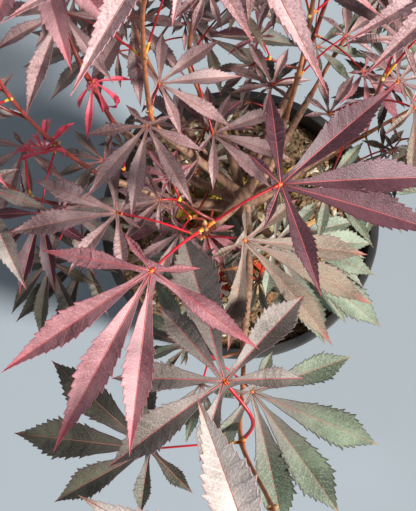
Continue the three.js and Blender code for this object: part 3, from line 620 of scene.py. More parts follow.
def twig_choices(shoot, foot, turn, key, size, turns, sign=1):
    """One twig in each of some turns, and the smaller the later it is tried."""
    return [ruled_twig(shoot, foot, turn + sign * more, key + more, size - LOSS_PER_TRY * i)
            for i, more in enumerate(turns)]


def twigs_to_try(shoot, number):
    """Finer twigs, with some other turns for each, from between the joints of a shoot and from
    its bough."""
    line = Line(shoot_points(shoot))
    count = len(shoot["joints"])
    bough = Line(bough_points(shoot))
    ahead = math.degrees(math.atan2(shoot["bough"][1][1], shoot["bough"][1][0]))
    for side in (-1, 1):
        for joint in range(int((count - 1) * HIGHEST_TWIG)):
            turn = shoot["turn"] + 90 * joint + 45 + 90 * (side + 1)
            key = 1000 * number + 700 + 20 * joint + 5 * side + 0.29
            yield twig_choices(shoot, line.point((joint + 1.5) / count), turn, key, 1,
                               OTHER_TURNS)
        for place in BOUGH_TWIG_PLACES:
            turn = ahead + side * mix(*BOUGH_TWIG_TURNS, place)
            key = 1000 * number + 800 + 100 * place + 5 * side + 0.17
            yield twig_choices(shoot, bough.point(place), turn, key, 1, OTHER_TURNS, side)


def filling_twigs(shoot, number):
    """Finer twigs that fill what room is left, from other places between the joints."""
    line = Line(shoot_points(shoot))
    count = len(shoot["joints"])
    for joint in range(count):
        for i, part in enumerate(FILLING_PLACES):
            turn = shoot["turn"] + 90 * joint + 120 * i
            key = 1000 * number + 900 + 20 * joint + 6 * i + 0.41
            yield twig_choices(shoot, line.point((joint + part) / count), turn, key,
                               FILLING_SIZE, FILLING_TURNS)


@functools.cache
def grow():
    """All leaves of the plant and its finer twigs: set leaves first, then the ruled ones."""
    room = Room()
    room.take(limb_balls(TRUNK_LINE, TRUNK_RADIUS))
    for shoot in SHOOTS:
        room.take(limb_balls(bough_points(shoot), BOUGH_FOOT_RADIUS))
        room.take(limb_balls(shoot_points(shoot), BOUGH_TIP_RADIUS))
    leaves = []
    twigs = []
    for number, shoot in enumerate(SHOOTS):
        leaves += [placed_leaf(shoot, number, entry, i) for i, entry in enumerate(shoot["placed"])]
    kept = np.vstack([leaf_balls(leaf) for leaf in leaves])
    room.take(kept)
    for number, shoot in enumerate(SHOOTS):
        for joint in range(len(shoot["joints"])):
            first = sum(entry["joint"] == joint for entry in shoot["placed"])
            sides = range(first, 2) if joint not in shoot["bare"] else ()
            for side in sides:
                for attempt in range(TRIES):
                    leaf = ruled_leaf(shoot, number, joint, side, attempt)
                    balls = leaf_balls(leaf)
                    if is_in_crown(balls) and room.is_clear(balls):
                        room.take(balls)
                        leaves.append(leaf)
                        break
    for to_try in (twigs_to_try, filling_twigs):
        for number, shoot in enumerate(SHOOTS):
            for choices in to_try(shoot, number):
                for twig in choices:
                    balls = np.vstack([leaf_balls(leaf) for leaf in twig["leaves"]])
                    if is_in_crown(balls) and not hides(balls, kept) and room.is_clear(balls):
                        room.take(balls)
                        twigs.append(twig)
                        leaves += twig["leaves"]
                        break
    return leaves, twigs


# Meshes


def new_object(name, data):
    made = bpy.data.objects.new(name, data)
    bpy.context.scene.collection.objects.link(made)
    return made


def meshed(name, mesh_maker, material=None):
    """Turns an open mesh into a finished one and frees it."""
    mesh = bpy.data.meshes.new(name)
    mesh_maker.to_mesh(mesh)
    mesh_maker.free()
    if material:
        mesh.materials.append(material)
    return mesh


def finished_piece(name, mesh_maker, material, slot, *nodes):
    """Makes the mesh an object of the plant's one body, and hides the solids that it stands in for.
    """
    piece = new_object(name, meshed(name, mesh_maker, material))
    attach(piece, "root")
    if nodes:
        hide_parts(*nodes)
    return piece


def shade_smooth(mesh_maker):
    for face in mesh_maker.faces:
        face.smooth = True


def pour(source, target):
    """Adds one small mesh to a larger one and empties it."""
    if not target.loops.layers.uv:
        target.loops.layers.uv.new("UVMap")
    carrier = meshed("carrier", source)
    target.from_mesh(carrier)
    bpy.data.meshes.remove(carrier)


def wrapped_tube(target, line, radius_at, sides, rings, start=0, end=1, relief=None):
    """A closed round limb along a line: a grid is wrapped round it and closed at its ends.
    Its surface map runs along the limb and round it."""
    tube = bmesh.new()
    tube.loops.layers.uv.new("UVMap")
    bmesh.ops.create_grid(tube, x_segments=rings + 2, y_segments=sides, size=1, calc_uvs=True)
    run = line.point(end) - line.point(start)
    reference = np.eye(3)[int(np.argmin(np.abs(run)))]
    places = []
    for ring in range(rings + 3):
        part = min(1, max(0, (ring - 1) / rings))
        share = mix(start, end, part)
        forward = line.tangent(share)
        side = np.cross(forward, reference)
        side /= np.linalg.norm(side)
        radius = radius_at(share) if 0 < ring < rings + 2 else 0
        places.append((line.point(share), side, np.cross(side, forward), radius, share))
    for vert in tube.verts:
        ring = round((vert.co.x + 1) / 2 * (rings + 2))
        turn = round((vert.co.y + 1) / 2 * sides) % sides * 2 * math.pi / sides
        centre, side, up, radius, share = places[ring]
        if relief and radius:
            radius += relief(turn, share)
        vert.co = MM * (centre + radius * (math.cos(turn) * side + math.sin(turn) * up))
    bmesh.ops.remove_doubles(tube, verts=tube.verts, dist=1e-6)
    bmesh.ops.recalc_face_normals(tube, faces=tube.faces)
    shade_smooth(tube)
    pour(tube, target)


# Leaf blades


@functools.cache
def margin_rows(teeth):
    """Rows across a lobe: place between notch and tip, tooth height and forward lean."""
    rows = [(place, 0, 0) for place in SMOOTH_PLACES]
    pitch = (TEETH_END - TEETH_START) / teeth
    for i in range(teeth):
        height = 1 if i % 2 else SMALL_TOOTH
        rows.append((TEETH_START + pitch * i, BETWEEN_TEETH, 0))
        rows.append((TEETH_START + pitch * (i + TOOTH_PEAK), height, TOOTH_LEAN * pitch))
    rows.append((TEETH_END, 0, 0))
    rows.append((1, 0, 0))
    return rows


def blade_width(place, widest):
    """Half width between notch and tip, as a share of the widest."""
    if place < widest:
        rise = math.sin(place / widest * math.pi / 2) ** BASE_CURVE
        return mix(BLADE_BASE, 1, rise)
    fall = (place - widest) / (1 - widest)
    return max(0, 1 - fall ** TIP_BOW) ** TIP_CURVE


def notch_between(lobe, other, leaf):
    """Turn and depth of the notch between two lobes. other is None at the back."""
    if other is None:
        sign = 1 if lobe[0] > 0 else -1
        return sign * math.pi, BACK_NOTCH_SHARE
    depth = BLADE_NOTCH * min(1, (lobe[1] + other[1]) / (1.4 * leaf["length"]))
    return (lobe[0] + other[0]) / 2, depth


def lobe_drift(leaf, index, length, share):
    """How far a lobe's rib bows to its side."""
    if leaf["turns"]:
        return 0
    return spread_out(leaf["key"] + 0.7 * index, DRIFT) * length * share * share


def lobe_rows(leaf, axes, index, lobe, notches, half_width, rows_along):
    """The rows of points of one lobe, from the hub to the tip, and their shares of it."""
    turn, length = lobe
    reaches = []
    edges = []
    for notch_turn, depth in notches:
        reaches.append(leaf["length"] * depth * math.cos(notch_turn - turn))
        edges.append(leaf_points(leaf, axes, notch_turn, leaf["length"], depth, 0, 0))
    notch_place = max(0.01, sum(reaches) / 2 / length)
    hub = np.asarray(leaf["hub"], dtype=float)
    rows = [[hub] * (BLADE_COLUMNS + 1)]
    shares = [0]

    def point(share, side, above):
        share = min(1, share)
        drift = lobe_drift(leaf, index, length, share)
        level = FOLD * (abs(side) - abs(side + drift))
        return leaf_points(leaf, axes, turn, length, share, side + drift, above + level)

    for i, (place, tooth, lean) in enumerate(rows_along):
        share = mix(notch_place, 1, place)
        rib = point(share, 0, 0)
        shares.append(share)
        if i == 0:
            rows.append([edges[0], (edges[0] + rib) / 2, rib, (edges[1] + rib) / 2, edges[1]])
            continue
        row = []
        for sign, (notch_turn, depth) in zip((-1, 1), notches):
            notch_width = leaf["length"] * depth * abs(math.sin(notch_turn - turn))
            full = length * half_width * blade_width(place, leaf.get("widest", WIDEST))
            width = mix(notch_width, full * (1 + TOOTH_DEPTH * tooth),
                        smooth(place / SMOOTH_PLACES[-1]))
            forward = lean + MARGIN_LEAD * width / length * min(1, 6 * place) * (1 - place)
            ripple = QUILT * tooth * width / (length * half_width)
            row.append((point(share + forward, sign * width, CUPPED * width),
                        point(share + forward / 3, sign * width / 2,
                              CUPPED * width / 2 + ripple)))
        rows.append([row[0][0], row[0][1], rib, row[1][1], row[1][0]])
    return rows, shares


def add_blade(target, leaf, thickness, half_width):
    """One blade: a grid for each lobe, joined along the notches and given its thickness.
    Its surface map runs along each lobe and across it."""
    axes = leaf_axes(leaf)
    lobes = lobes_of(leaf)
    rows_along = margin_rows(TEETH if leaf["length"] > MANY_TEETH_FROM else FEWER_TEETH)
    last = len(rows_along)
    blade = bmesh.new()
    surface = blade.loops.layers.uv.new("UVMap")
    for i, lobe in enumerate(lobes):
        before = notch_between(lobe, lobes[i - 1] if i else None, leaf)
        after = notch_between(lobe, lobes[i + 1] if i + 1 < len(lobes) else None, leaf)
        rows, shares = lobe_rows(leaf, axes, i, lobe, (before, after),
                                 leaf.get("width", half_width), rows_along)
        made = bmesh.ops.create_grid(
            blade, x_segments=last, y_segments=BLADE_COLUMNS, size=1, calc_uvs=True)
        for vert in made["verts"]:
            row = round((vert.co.x + 1) / 2 * last)
            column = round((vert.co.y + 1) / 2 * BLADE_COLUMNS)
            vert.co = MM * rows[row][column]
            for loop in vert.link_loops:
                loop[surface].uv = (shares[row], column / BLADE_COLUMNS)
    bmesh.ops.remove_doubles(blade, verts=blade.verts, dist=2e-5)
    bmesh.ops.recalc_face_normals(blade, faces=blade.faces)
    bmesh.ops.solidify(blade, geom=blade.faces, thickness=thickness)
    shade_smooth(blade)
    for edge in blade.edges:
        if edge.calc_face_angle(0) > CREASE:
            edge.smooth = False
    pour(blade, target)


def add_ribs(target, leaf, radius):
    """The raised ribs of a leaf, one along each lobe."""
    axes = leaf_axes(leaf)
    for index, (turn, length) in enumerate(lobes_of(leaf)):
        points = []
        for share in np.linspace(0, RIB_END, 7):
            drift = lobe_drift(leaf, index, length, share)
            points.append(leaf_points(leaf, axes, turn, length, share, drift,
                                      RIB_RISE - FOLD * abs(drift)))
        wrapped_tube(target, Line(points), lambda share: mix(radius, radius * 0.3, share), 4, 7)


# Finishes


def new_material(name, roughness, specular=0.5):
    material = bpy.data.materials.new(name)
    material.use_nodes = True
    shader = material.node_tree.nodes["Principled BSDF"]
    shader.inputs["Roughness"].default_value = roughness
    shader.inputs["Specular IOR Level"].default_value = specular
    return material, shader


def node(material, kind, **inputs):
    made = material.node_tree.nodes.new(kind)
    for name, value in inputs.items():
        made.inputs[name].default_value = value
    return made


def link(material, source, target):
    material.node_tree.links.new(source, target)


def object_noise(material, scale, detail=3, stretch=(1, 1, 1)):
    """Noise on the object's own coordinates."""
    coordinates = node(material, "ShaderNodeTexCoord")
    mapping = node(material, "ShaderNodeMapping")
    mapping.inputs["Scale"].default_value = stretch
    pattern = node(material, "ShaderNodeTexNoise", Scale=scale, Detail=detail)
    link(material, coordinates.outputs["Object"], mapping.inputs["Vector"])
    link(material, mapping.outputs["Vector"], pattern.inputs["Vector"])
    return pattern.outputs["Fac"]


def colour_between(material, shader, factor, dark, light, low=0.35, high=0.65):
    ramp = node(material, "ShaderNodeValToRGB")
    ramp.color_ramp.elements[0].position = low
    ramp.color_ramp.elements[0].color = (*dark, 1)
    ramp.color_ramp.elements[1].position = high
    ramp.color_ramp.elements[1].color = (*light, 1)
    link(material, factor, ramp.inputs["Fac"])
    link(material, ramp.outputs["Color"], shader.inputs["Base Color"])


def bump(material, shader, factor, strength, depth_mm):
    relief = node(material, "ShaderNodeBump", Strength=strength, Distance=depth_mm * MM)
    link(material, factor, relief.inputs["Height"])
    link(material, relief.outputs["Normal"], shader.inputs["Normal"])


def vary_roughness(material, shader, factor, low, high):
    spread = node(material, "ShaderNodeMapRange")
    spread.inputs["To Min"].default_value = low
    spread.inputs["To Max"].default_value = high
    link(material, factor, spread.inputs["Value"])
    link(material, spread.outputs["Result"], shader.inputs["Roughness"])


def shaded(colour, factor):
    return tuple(min(1, value * factor) for value in colour)


def math_node(material, operation, first, second=None):
    made = material.node_tree.nodes.new("ShaderNodeMath")
    made.operation = operation
    for i, value in enumerate((first, second)):
        if isinstance(value, (int, float)):
            made.inputs[i].default_value = value
        elif value is not None:
            link(material, value, made.inputs[i])
    return made.outputs[0]


def ramped(material, value, low, high, top=1.0):
    """0 below low and top above high, with a smooth step between them."""
    step = node(material, "ShaderNodeMapRange")
    step.interpolation_type = "SMOOTHSTEP"
    step.inputs["From Min"].default_value = low
    step.inputs["From Max"].default_value = high
    step.inputs["To Max"].default_value = top
    link(material, value, step.inputs["Value"])
    return step.outputs["Result"]


def tinted(material, factor, colour, other, blend="MIX"):
    """Mixes a colour, or the result of an earlier mix, with another colour."""
    made = node(material, "ShaderNodeMix")
    made.data_type = "RGBA"
    made.blend_type = blend
    link(material, factor, made.inputs[0])
    for socket, value in ((made.inputs[6], colour), (made.inputs[7], other)):
        if isinstance(value, tuple):
            socket.default_value = (*value, 1)
        else:
            link(material, value, socket)
    return made.outputs[2]


def leaf_finish(name, colour, sheen, other, tip, margin, tip_from, painted_glint_amount, greying):
    """A thin blade: mottled from leaf to leaf, finely speckled with painted glints and painted dark
    specks of shade in its grain, with slanted side veins, its own colour at the tips and along the
    margin, and a grainy, softly shining surface."""
    material, shader = new_material(name, 0.4)
    shader.inputs["Sheen Weight"].default_value = sheen
    surface = node(material, "ShaderNodeTexCoord")
    parts = node(material, "ShaderNodeSeparateXYZ")
    link(material, surface.outputs["UV"], parts.inputs[0])
    along = parts.outputs["X"]
    middle = math_node(material, "SUBTRACT", parts.outputs["Y"], 0.5)
    aside = math_node(material, "MULTIPLY", math_node(material, "ABSOLUTE", middle), 2)

    mottle = ramped(material, object_noise(material, MOTTLE_SCALE, 4), 0.36, 0.66)
    base = tinted(material, mottle, shaded(colour, 0.72), other)
    # Fine grain noise: it paints the specks of painted light and shade below, and also sets the
    # roughness and the bump
    grain_and_glints = object_noise(material, GRAIN_GLINT_SCALE, 3)
    # Light specks: painted glints, the second colour lightened
    base = tinted(material, ramped(material, grain_and_glints, 0.53, 0.66, painted_glint_amount), base,
                  shaded(other, 1.5))
    # Dark specks: painted shade in the grain's pits
    base = tinted(material, ramped(material, grain_and_glints, 0.47, 0.34, painted_glint_amount), base,
                  shaded(colour, 0.3))

    light = sum(other) / 3
    near_hub = (1.14 * light, 0.92 * light, 0.9 * light)
    base = tinted(material, ramped(material, math_node(material, "SUBTRACT", 1, along),
                                   0.4, 0.85, greying), base, near_hub)

    slant = math_node(material, "MULTIPLY", aside, -VEIN_SLANT)
    rank = math_node(material, "MULTIPLY", along, SIDE_VEINS)
    phase = math_node(material, "ADD", rank, slant)
    wave = math_node(material, "SINE", math_node(material, "MULTIPLY", phase, math.pi))
    vein = ramped(material, wave, 0.86, 0.99, 0.25)
    base = tinted(material, vein, base, shaded(other, 1.3))
    base = tinted(material, ramped(material, aside, 0.86, 0.99, 0.8), base, margin)
    base = tinted(material, ramped(material, along, tip_from, 0.97, 0.8), base, tip)
    link(material, base, shader.inputs["Base Color"])

    vary_roughness(material, shader, grain_and_glints, 0.34, 0.62)
    height = math_node(material, "ADD", grain_and_glints, math_node(material, "MULTIPLY", vein, -0.7))
    bump(material, shader, height, 0.45, 0.4)
    return material


def stalk_finish(name, colour, light, scale=160):
    """Smooth young stalk with a soft gloss."""
    material, shader = new_material(name, 0.35)
    streaks = object_noise(material, scale, 3)
    colour_between(material, shader, streaks, colour, light)
    vary_roughness(material, shader, streaks, 0.28, 0.45)
    bump(material, shader, object_noise(material, 1400, 2), 0.2, 0.1)
    return material


def bark_finish(name, dark, light):
    """Young bark: fine upright cracks and pale specks."""
    material, shader = new_material(name, 0.75)
    cracks = object_noise(material, 420, 6, (1, 1, 0.22))
    colour_between(material, shader, cracks, dark, light, 0.38, 0.62)
    vary_roughness(material, shader, cracks, 0.6, 0.85)
    bump(material, shader, cracks, 0.7, 0.6)
    return material


def plastic_finish(settings):
    """Moulded black plastic, dusty and lightly scuffed."""
    material, shader = new_material("black_plastic", 0.42)
    dust = object_noise(material, 38, 6, (1, 1, 0.5))
    colour_between(material, shader, dust, settings.colour, settings.dust, 0.45, 0.8)
    vary_roughness(material, shader, object_noise(material, 130, 5), 0.34, 0.6)
    bump(material, shader, object_noise(material, 700, 3), 0.25, 0.15)
    return material


def crumb_finish(name, dark, light, scale=450):
    """Loose, matt crumbs of bark and peat."""
    material, shader = new_material(name, 0.92, 0.2)
    crumbs = object_noise(material, scale, 6)
    colour_between(material, shader, crumbs, dark, light, 0.36, 0.66)
    bump(material, shader, crumbs, 0.9, 1.2)
    return material


# Settings that a user would change


def paint(name, description, default):
    return FloatVectorProperty(name=name, description=description, default=default,
                               subtype="COLOR", min=0, max=1)


def distance(name, description, default, **limits):
    return FloatProperty(name=name, description=description, default=default, unit="LENGTH",
                         **{"min": 0, **limits})


class PotSettings(bpy.types.PropertyGroup):
    colour: paint("Plastic", "Colour of the clean plastic", (0.012, 0.013, 0.015))
    dust: paint("Dust", "Colour of the dust on the plastic", (0.06, 0.056, 0.05))
    edge_round: distance("Edge rounding", "Radius of the moulded edges", 0.0005, max=0.002)


class CompostSettings(bpy.types.PropertyGroup):
    chips: IntProperty(
        name="Chips", description="Loose bits of bark on the compost", default=1100, min=0)
    chip_size: distance("Chip size", "Mean length of a bark chip", 0.0055, min=0.001)
    litter: IntProperty(
        name="Fallen leaves", description="Dry leaves that lie on the compost",
        default=20, min=0)
    dark: paint("Damp", "Colour of damp compost", (0.035, 0.022, 0.014))
    light: paint("Dry", "Colour of dry compost", (0.3, 0.195, 0.115))


class WoodSettings(bpy.types.PropertyGroup):
    bark: paint("Bark", "Colour of the trunk's bark", (0.27, 0.2, 0.145))
    orange: paint("Orange shoots", "Colour of orange-brown young wood", (0.56, 0.2, 0.09))
    red: paint("Red shoots", "Colour of dark red young wood", (0.33, 0.05, 0.035))
    stalk: paint("Leaf stalks", "Colour of the leaf stalks", (0.72, 0.014, 0.03))
    relief: distance("Relief", "Depth of the bark's relief on the trunk", 0.0005)


class LeafSettings(bpy.types.PropertyGroup):
    thickness: distance("Blade thickness", "Thickness of a blade", 0.0003, min=0.0001)
    half_width: FloatProperty(
        name="Half width", description="Widest half width of a lobe as a share of its length",
        default=0.092, min=0.05, max=0.15, subtype="FACTOR")
    rib_radius: distance("Rib radius", "Radius of a lobe's rib near the hub", 0.0003)
    stalk_radius: distance(
        "Stalk radius", "Radius of a leaf stalk at its middle", 0.00055, min=0.0002)
    sheen: FloatProperty(
        name="Sheen", description="Weight of the soft sheen on the blades",
        default=0.04, min=0, max=1, subtype="FACTOR")


for _tint, (_slot, _about, _colour, *_others) in TINTS.items():
    LeafSettings.__annotations__[_tint] = paint(_tint.capitalize(), _about, _colour)


class StudioSettings(bpy.types.PropertyGroup):
    floor: paint("Floor", "Colour of the plain pale floor", (0.3, 0.345, 0.385))
    camera: FloatVectorProperty(
        name="Camera", description="Place of the camera, above and in front of the plant",
        default=(-0.0219, -0.1742, 0.7455), subtype="XYZ", unit="LENGTH")
    camera_tilt: FloatProperty(
        name="Camera tilt", description="Turn of the camera up from straight down",
        default=math.radians(14), subtype="ANGLE", unit="ROTATION")
    lens: FloatProperty(
        name="Lens", description="Focal length for a long side of 36 mm", default=63.9, min=1)
    key_strength: FloatProperty(
        name="Key light", description="Strength of the soft light from the right", default=6.6,
        min=0)
    fill_strength: FloatProperty(
        name="Fill light", description="Strength of the weak light from the left", default=0.4,
        min=0)
    softness: FloatProperty(
        name="Softness", description="Angle that each light fills", default=math.radians(9),
        subtype="ANGLE", unit="ROTATION", min=0)
    sky: FloatProperty(
        name="Sky", description="Strength of the even light all round", default=0.22, min=0)


# Operators


class MAPLE_OT_studio(bpy.types.Operator):
    """Set up the camera, the floor and the soft light"""
    bl_idname = "maple.studio"
    bl_label = "Studio"

    def execute(self, context):
        settings = context.scene.maple_studio
        scene = context.scene

        camera = new_object("camera", bpy.data.cameras.new("camera"))
        camera.data.lens = settings.lens
        camera.data.sensor_width = 36
        camera.data.clip_start = 0.01
        camera.location = settings.camera
        camera.rotation_euler = (settings.camera_tilt, 0, 0)
        scene.camera = camera

        ground = bmesh.new()
        bmesh.ops.create_grid(ground, x_segments=8, y_segments=8, size=60)
        material, shader = new_material("floor_paint", 0.7, 0.3)
        colour = tuple(settings.floor)
        colour_between(material, shader, object_noise(material, 3, 4), shaded(colour, 0.96), colour)
        floor = new_object("floor", meshed("floor", ground, material))

        for name, (place, tint) in LAMPS.items():
            lamp = bpy.data.lights.new(f"{name}_light", "SUN")
            lamp.energy = getattr(settings, f"{name}_strength")
            lamp.angle = settings.softness
            lamp.color = tint
            light = new_object(f"{name}_light", lamp)
            light.location = place
            light.rotation_euler = Vector(place).to_track_quat("Z", "Y").to_euler()

        world = bpy.data.worlds.new("studio_sky")
        world.use_nodes = True
        background = world.node_tree.nodes["Background"]
        background.inputs["Color"].default_value = SKY_COLOUR
        background.inputs["Strength"].default_value = settings.sky
        scene.world = world
        scene.view_settings.view_transform = "Standard"
        return {"FINISHED"}


class MAPLE_OT_pot(bpy.types.Operator):
    """Turn the nursery pot with its ledge, rolled lip and drain holes"""
    bl_idname = "maple.pot"
    bl_label = "Pot"

    def execute(self, context):
        settings = context.scene.maple_pot
        ledge = POT_HEIGHT - LEDGE_DEPTH
        lip = POT_HEIGHT - LIP_HEIGHT
        outline = [
            (0, 0), (BASE_RADIUS - UNDERSIDE_EDGE, 0), (BASE_RADIUS, 0),
            (wall_radius(ledge), ledge), (wall_radius(ledge + 1), ledge + 1),
            (wall_radius(lip), lip), (RIM_RADIUS, lip), (RIM_RADIUS, POT_HEIGHT),
            *((inner_radius(height), height)
              for height in (POT_HEIGHT, ledge + 1, ledge, POT_FLOOR)),
            (0, POT_FLOOR),
        ]
        shell = spun(outline)
        sharp = [edge for edge in shell.edges
                 if len(edge.link_faces) == 2 and edge.calc_face_angle() > SHARP_EDGE]
        bmesh.ops.bevel(shell, geom=sharp, offset=settings.edge_round, offset_type="OFFSET",
                        affect="EDGES", segments=3, profile=0.5, material=-1)
        shade_smooth(shell)
        piece = finished_piece("pot_shell", shell, plastic_finish(settings), "pot", "pot")

        drills = bmesh.new()
        for i in range(DRAIN_HOLES):
            turn = i / DRAIN_HOLES * 2 * math.pi
            place = Matrix.Translation(MM * Vector(
                (DRAIN_CIRCLE * math.cos(turn), DRAIN_CIRCLE * math.sin(turn), 0)))
            bmesh.ops.create_cone(drills, cap_ends=True, segments=32, radius1=DRAIN_RADIUS * MM,
                                  radius2=DRAIN_RADIUS * MM, depth=4 * POT_FLOOR * MM,
                                  matrix=place)
        cutter = new_object("drain_drills", meshed("drain_drills", drills))
        holes = piece.modifiers.new("drain holes", "BOOLEAN")
        holes.object = cutter
        holes.operation = "DIFFERENCE"
        holes.solver = "EXACT"
        cut = bpy.data.meshes.new_from_object(
            piece.evaluated_get(context.evaluated_depsgraph_get()))
        piece.modifiers.clear()
        piece.data = cut
        bpy.data.objects.remove(cutter)
        return {"FINISHED"}


def wall_radius(height):
    taper = (RIM_RADIUS - LIP_OVERHANG - LEDGE_STEP - BASE_RADIUS) / POT_HEIGHT
    step = LEDGE_STEP if height > POT_HEIGHT - LEDGE_DEPTH else 0
    return BASE_RADIUS + taper * height + step


def inner_radius(height):
    return wall_radius(height) - POT_WALL


def spun(outline):
    """A solid of revolution from an outline of radii and heights in millimetres."""
    shape = bmesh.new()
    verts = [shape.verts.new((radius * MM, 0, height * MM)) for radius, height in outline]
    edges = [shape.edges.new(pair) for pair in zip(verts, verts[1:])]
    bmesh.ops.spin(shape, geom=verts + edges, cent=(0, 0, 0), axis=(0, 0, 1),
                   angle=2 * math.pi, steps=ROUND_STEPS, use_merge=True)
    bmesh.ops.remove_doubles(shape, verts=shape.verts, dist=1e-6)
    bmesh.ops.recalc_face_normals(shape, faces=shape.faces)
    return shape


def compost_height(x, y):
    """Uneven top of the compost, in millimetres, level under the trunk's foot."""
    away = math.hypot(x, y)
    waves = sum(height * noise.noise(Vector((x * scale, y * scale, layer)))
                for layer, (height, scale) in ((3, HEAPS), (9, CRUMBS)))
    return COMPOST_TOP + waves * smooth((away - 8) / 20)


class MAPLE_OT_compost(bpy.types.Operator):
    """Fill the pot with compost, bark chips and fallen leaves"""
    bl_idname = "maple.compost"
    bl_label = "Compost"

    def execute(self, context):
        settings = context.scene.maple_compost
        inner = inner_radius(COMPOST_TOP) - GAP
        ledge = POT_HEIGHT - LEDGE_DEPTH
        rings = [(inner * i / COMPOST_RINGS, COMPOST_TOP) for i in range(COMPOST_RINGS + 1)]
        outline = [*rings, (inner_radius(ledge + 1) - GAP, ledge + 1 + 2 * GAP),
                   (inner_radius(ledge) - GAP, ledge + GAP),
                   (inner_radius(POT_FLOOR) - GAP, POT_FLOOR + GAP), (0, POT_FLOOR + GAP)]
        bed = spun(outline)
        for vert in bed.verts:
            if vert.co.z > (COMPOST_TOP - 1) * MM:
                vert.co.z = MM * compost_height(vert.co.x / MM, vert.co.y / MM)
        shade_smooth(bed)
        dark, light = tuple(settings.dark), tuple(settings.light)
        finished_piece("compost_bed", bed, crumb_finish("compost", dark, light), "compost",
                       "compost")
        for kind, (name, (shade, share)) in enumerate(CHIPS.items()):
            chips = bmesh.new()
            for i in range(int(settings.chips * share)):
                add_chip(chips, 5000 + 1000 * kind + i, settings.chip_size / MM)
            finish = crumb_finish(f"chips_{name}", shaded(shade, 0.6), shade, 300)
            finished_piece(f"chips_{name}", chips, finish, "compost")
        for kind, (name, shade) in enumerate(LITTER.items()):
            litter = bmesh.new()
            for i in range(kind, settings.litter, len(LITTER)):
                add_blade(litter, fallen_leaf(i), LITTER_THICKNESS, LITTER_HALF_WIDTH)
            finish = crumb_finish(f"litter_{name}", shaded(shade, 0.55), shade, 160)
            finished_piece(f"litter_{name}", litter, finish, "compost")
        return {"FINISHED"}


def add_chip(target, key, size):
    """One flat, jagged bark chip that lies on the compost."""
    turn = chance(key) * 2 * math.pi
    away = math.sqrt(chance(key + 0.3)) * (inner_radius(COMPOST_TOP) - size)
    x, y = away * math.cos(turn), away * math.sin(turn)
    if math.hypot(x - TRUNK_LINE[0][0], y - TRUNK_LINE[0][1]) < TRUNK_FOOT_RADIUS + 2:
        return
    length = size * (0.45 + 1.1 * chance(key + 0.7) ** 2)
    chip = bmesh.new()
    bmesh.ops.create_icosphere(chip, subdivisions=1, radius=0.5)
    for vert in chip.verts:
        vert.co *= 0.75 + 0.5 * chance(key + vert.index * 0.37)
    lie = (Matrix.Translation(MM * Vector((x, y, compost_height(x, y) + 0.1 * length)))
           @ Matrix.Rotation(2 * math.pi * chance(key + 0.9), 4, "Z")
           @ Matrix.Rotation(spread_out(key + 1.1, 0.5), 4, "X")
           @ Matrix.Rotation(spread_out(key + 1.3, 0.4), 4, "Y")
           @ Matrix.Diagonal((length * MM, length * MM * (0.35 + 0.4 * chance(key + 1.5)),
                              length * MM * (0.16 + 0.2 * chance(key + 1.7)), 1)))
    bmesh.ops.transform(chip, matrix=lie, verts=chip.verts)
    pour(chip, target)


def fallen_leaf(i):
    """A small dry leaf that lies curled on the compost, clear of the pot's wall."""
    key = 9100 + 31 * i
    turn = 2 * math.pi * (i * 0.382 + 0.06 * chance(key))
    away = 22 + 26 * chance(key + 0.4)
    x, y = away * math.cos(turn), away * math.sin(turn)
    return {
        "key": key, "hub": np.array([x, y, COMPOST_TOP + 5]),
        "heading": 360 * chance(key + 0.8), "pitch": spread_out(key + 1.2, 6),
        "roll": spread_out(key + 1.6, 12), "length": 15 + 17 * chance(key + 2),
        "bend": 0.4 + 0.5 * chance(key + 2.4), "turns": None, "shares": None,
    }


class MAPLE_OT_wood(bpy.types.Operator):
    """Grow the trunk and its boughs with their bark"""
    bl_idname = "maple.wood"
    bl_label = "Trunk and boughs"

    def execute(self, context):
        settings = context.scene.maple_wood
        depth = settings.relief / MM

        def bark_relief(turn, share):
            x, y = math.cos(turn), math.sin(turn)
            cracks = noise.noise(Vector((x * 3.2, y * 3.2, share * 7)))
            rings = noise.noise(Vector((x * 0.8, y * 0.8, share * 26 + 5)))
            roots = max(0, 1 - share / FLARE_SHARE) ** 2 * 2.2 * math.cos(5 * turn + 0.7)
            return depth * (1.6 * cracks + 0.8 * rings) + min(0, roots)

        trunk = bmesh.new()
        wrapped_tube(trunk, Line(TRUNK_LINE), trunk_radius, 40, 90, relief=bark_relief)
        bark = tuple(settings.bark)
        finished_piece("trunk_bark", trunk, bark_finish("bark", shaded(bark, 0.4), bark), "bark",
                       "trunk")
        nodes = [f"bough_{shoot['name']}" for shoot in SHOOTS]
        boughs = bmesh.new()
        for shoot in SHOOTS:
            wrapped_tube(boughs, Line(bough_points(shoot)), bough_radius, 14, 26,
                         relief=lambda turn, share: depth * 0.5 * noise.noise(
                             Vector((math.cos(turn) * 2, math.sin(turn) * 2, share * 16))))
        young = mix(np.array(settings.bark), np.array(settings.orange), 0.35)
        finish = bark_finish("young_bark", shaded(young, 0.5), tuple(young))
        finished_piece("bough_bark", boughs, finish, "shoot", *nodes)
        return {"FINISHED"}


def bough_radius(share):
    collar = 1.4 * max(0, 1 - share / 0.22) ** 2
    return mix(BOUGH_FOOT_RADIUS, BOUGH_TIP_RADIUS, share) + collar


